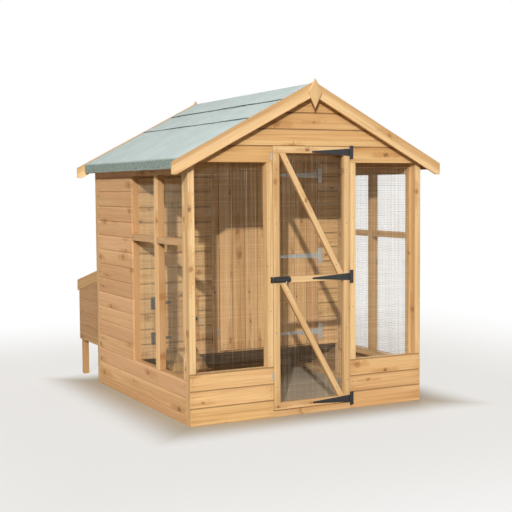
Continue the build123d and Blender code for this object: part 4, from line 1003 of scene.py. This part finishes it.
def studioFloor():
    # pale floor that glows to white away from the walls of the house; near the walls the glow is held back, a
    # painted shade along the house's base
    finish, tree, shader = startFinish("paleFloor")
    plug(tree, shader, {"Base Color": stageLook["floor"], "Roughness": stageLook["floorRough"],
                        "Specular IOR Level": stageLook["floorSheen"]})
    parts = split(tree, objectPlace(tree))
    fromMiddle = calc(tree, "SUBTRACT", parts[1], (frontY + rearY) / 2)
    aside = calc(tree, "SUBTRACT", calc(tree, "ABSOLUTE", parts[0]), house["half"])
    before = calc(tree, "SUBTRACT", calc(tree, "ABSOLUTE", fromMiddle), house["depth"] / 2)
    away = calc(tree, "MAXIMUM", aside, before)
    white = addNode(tree, "ShaderNodeEmission", {"Color": rgb(1, 1, 1), "Strength": 1.0})
    near = stageLook["near"]
    # painted shade: within the first 0.45 m from the walls the white glow fades out, so the floor darkens
    # towards the house
    glowAndBaseShade = calc(tree, "ADD", remap(tree, away, *stageLook["baseShadeFade"], 0, near),
                remap(tree, away, *stageLook["farFade"], 0, 1 - near))
    inputs = {0: times(tree, glowAndBaseShade, seenDirectly(tree)), 1: shader.outputs[0], 2: white.outputs[0]}
    mix = addNode(tree, "ShaderNodeMixShader", inputs)
    tree.links.new(mix.outputs[0], tree.nodes["Material Output"].inputs["Surface"])
    r = stageLook["reach"]
    mesh = bpy.data.meshes.new("studioFloor")
    mesh.from_pydata([(-r, -r, 0), (r, -r, 0), (r, r, 0), (-r, r, 0)], [], [(0, 1, 2, 3)])
    mesh.materials.append(finish)
    floor = bpy.data.objects.new("studioFloor", mesh)
    scene.collection.objects.link(floor)


def keyLamp(name):
    lamp = bpy.data.lights.new(name, "SUN")
    lamp.energy = stageLook["key"]
    lamp.angle = radians(stageLook["keySpread"])
    lamp.color = stageLook["keyTint"]
    holder = bpy.data.objects.new(name, lamp)
    holder.rotation_euler = Vector(stageLook["toKey"]).to_track_quat("Z", "Y").to_euler()
    scene.collection.objects.link(holder)


def softLamp(name, place, target, power, size, tint):
    lamp = bpy.data.lights.new(name, "AREA")
    lamp.energy = power
    lamp.shape = "DISK"
    lamp.size = size
    lamp.color = tint
    holder = bpy.data.objects.new(name, lamp)
    holder.location = place
    holder.rotation_euler = (Vector(target) - Vector(place)).to_track_quat("-Z", "Y").to_euler()
    scene.collection.objects.link(holder)


def studioWorld(name):
    # white where it is seen, a dim warm fill where it lights
    world = bpy.data.worlds.new(name)
    scene.world = world
    world.use_nodes = True
    tree = world.node_tree
    colour = blendColour(tree, seenDirectly(tree), stageLook["fill"], rgb(1, 1, 1))
    plug(tree, tree.nodes["Background"], {"Color": colour, "Strength": 1.0})


studioFloor()
keyLamp("keyLamp")
for name, lamp in softLamps.items():
    softLamp(name, **lamp)
studioWorld("studio")

view = {"place": (-3.6033, -7.3365, 1.555), "yaw": 27.1964, "down": 3.715, "roll": -0.4044, "lens": 73.39,
        "sensor": 36.0}
yaw, down, roll = (radians(view[k]) for k in ("yaw", "down", "roll"))
ahead = Vector((sin(yaw) * cos(down), cos(yaw) * cos(down), -sin(down)))
right = Vector((cos(yaw), -sin(yaw), 0))
above = right.cross(ahead)
leanRight = right * cos(roll) + above * sin(roll)
leanUp = leanRight.cross(ahead)
lens = bpy.data.cameras.new("photoCamera")
lens.lens = view["lens"]
lens.sensor_width = view["sensor"]
camera = bpy.data.objects.new("photoCamera", lens)
pose = Matrix((leanRight, leanUp, -ahead)).transposed().to_4x4()
pose.translation = Vector(view["place"])
camera.matrix_world = pose
scene.collection.objects.link(camera)
scene.camera = camera
print("stage set")
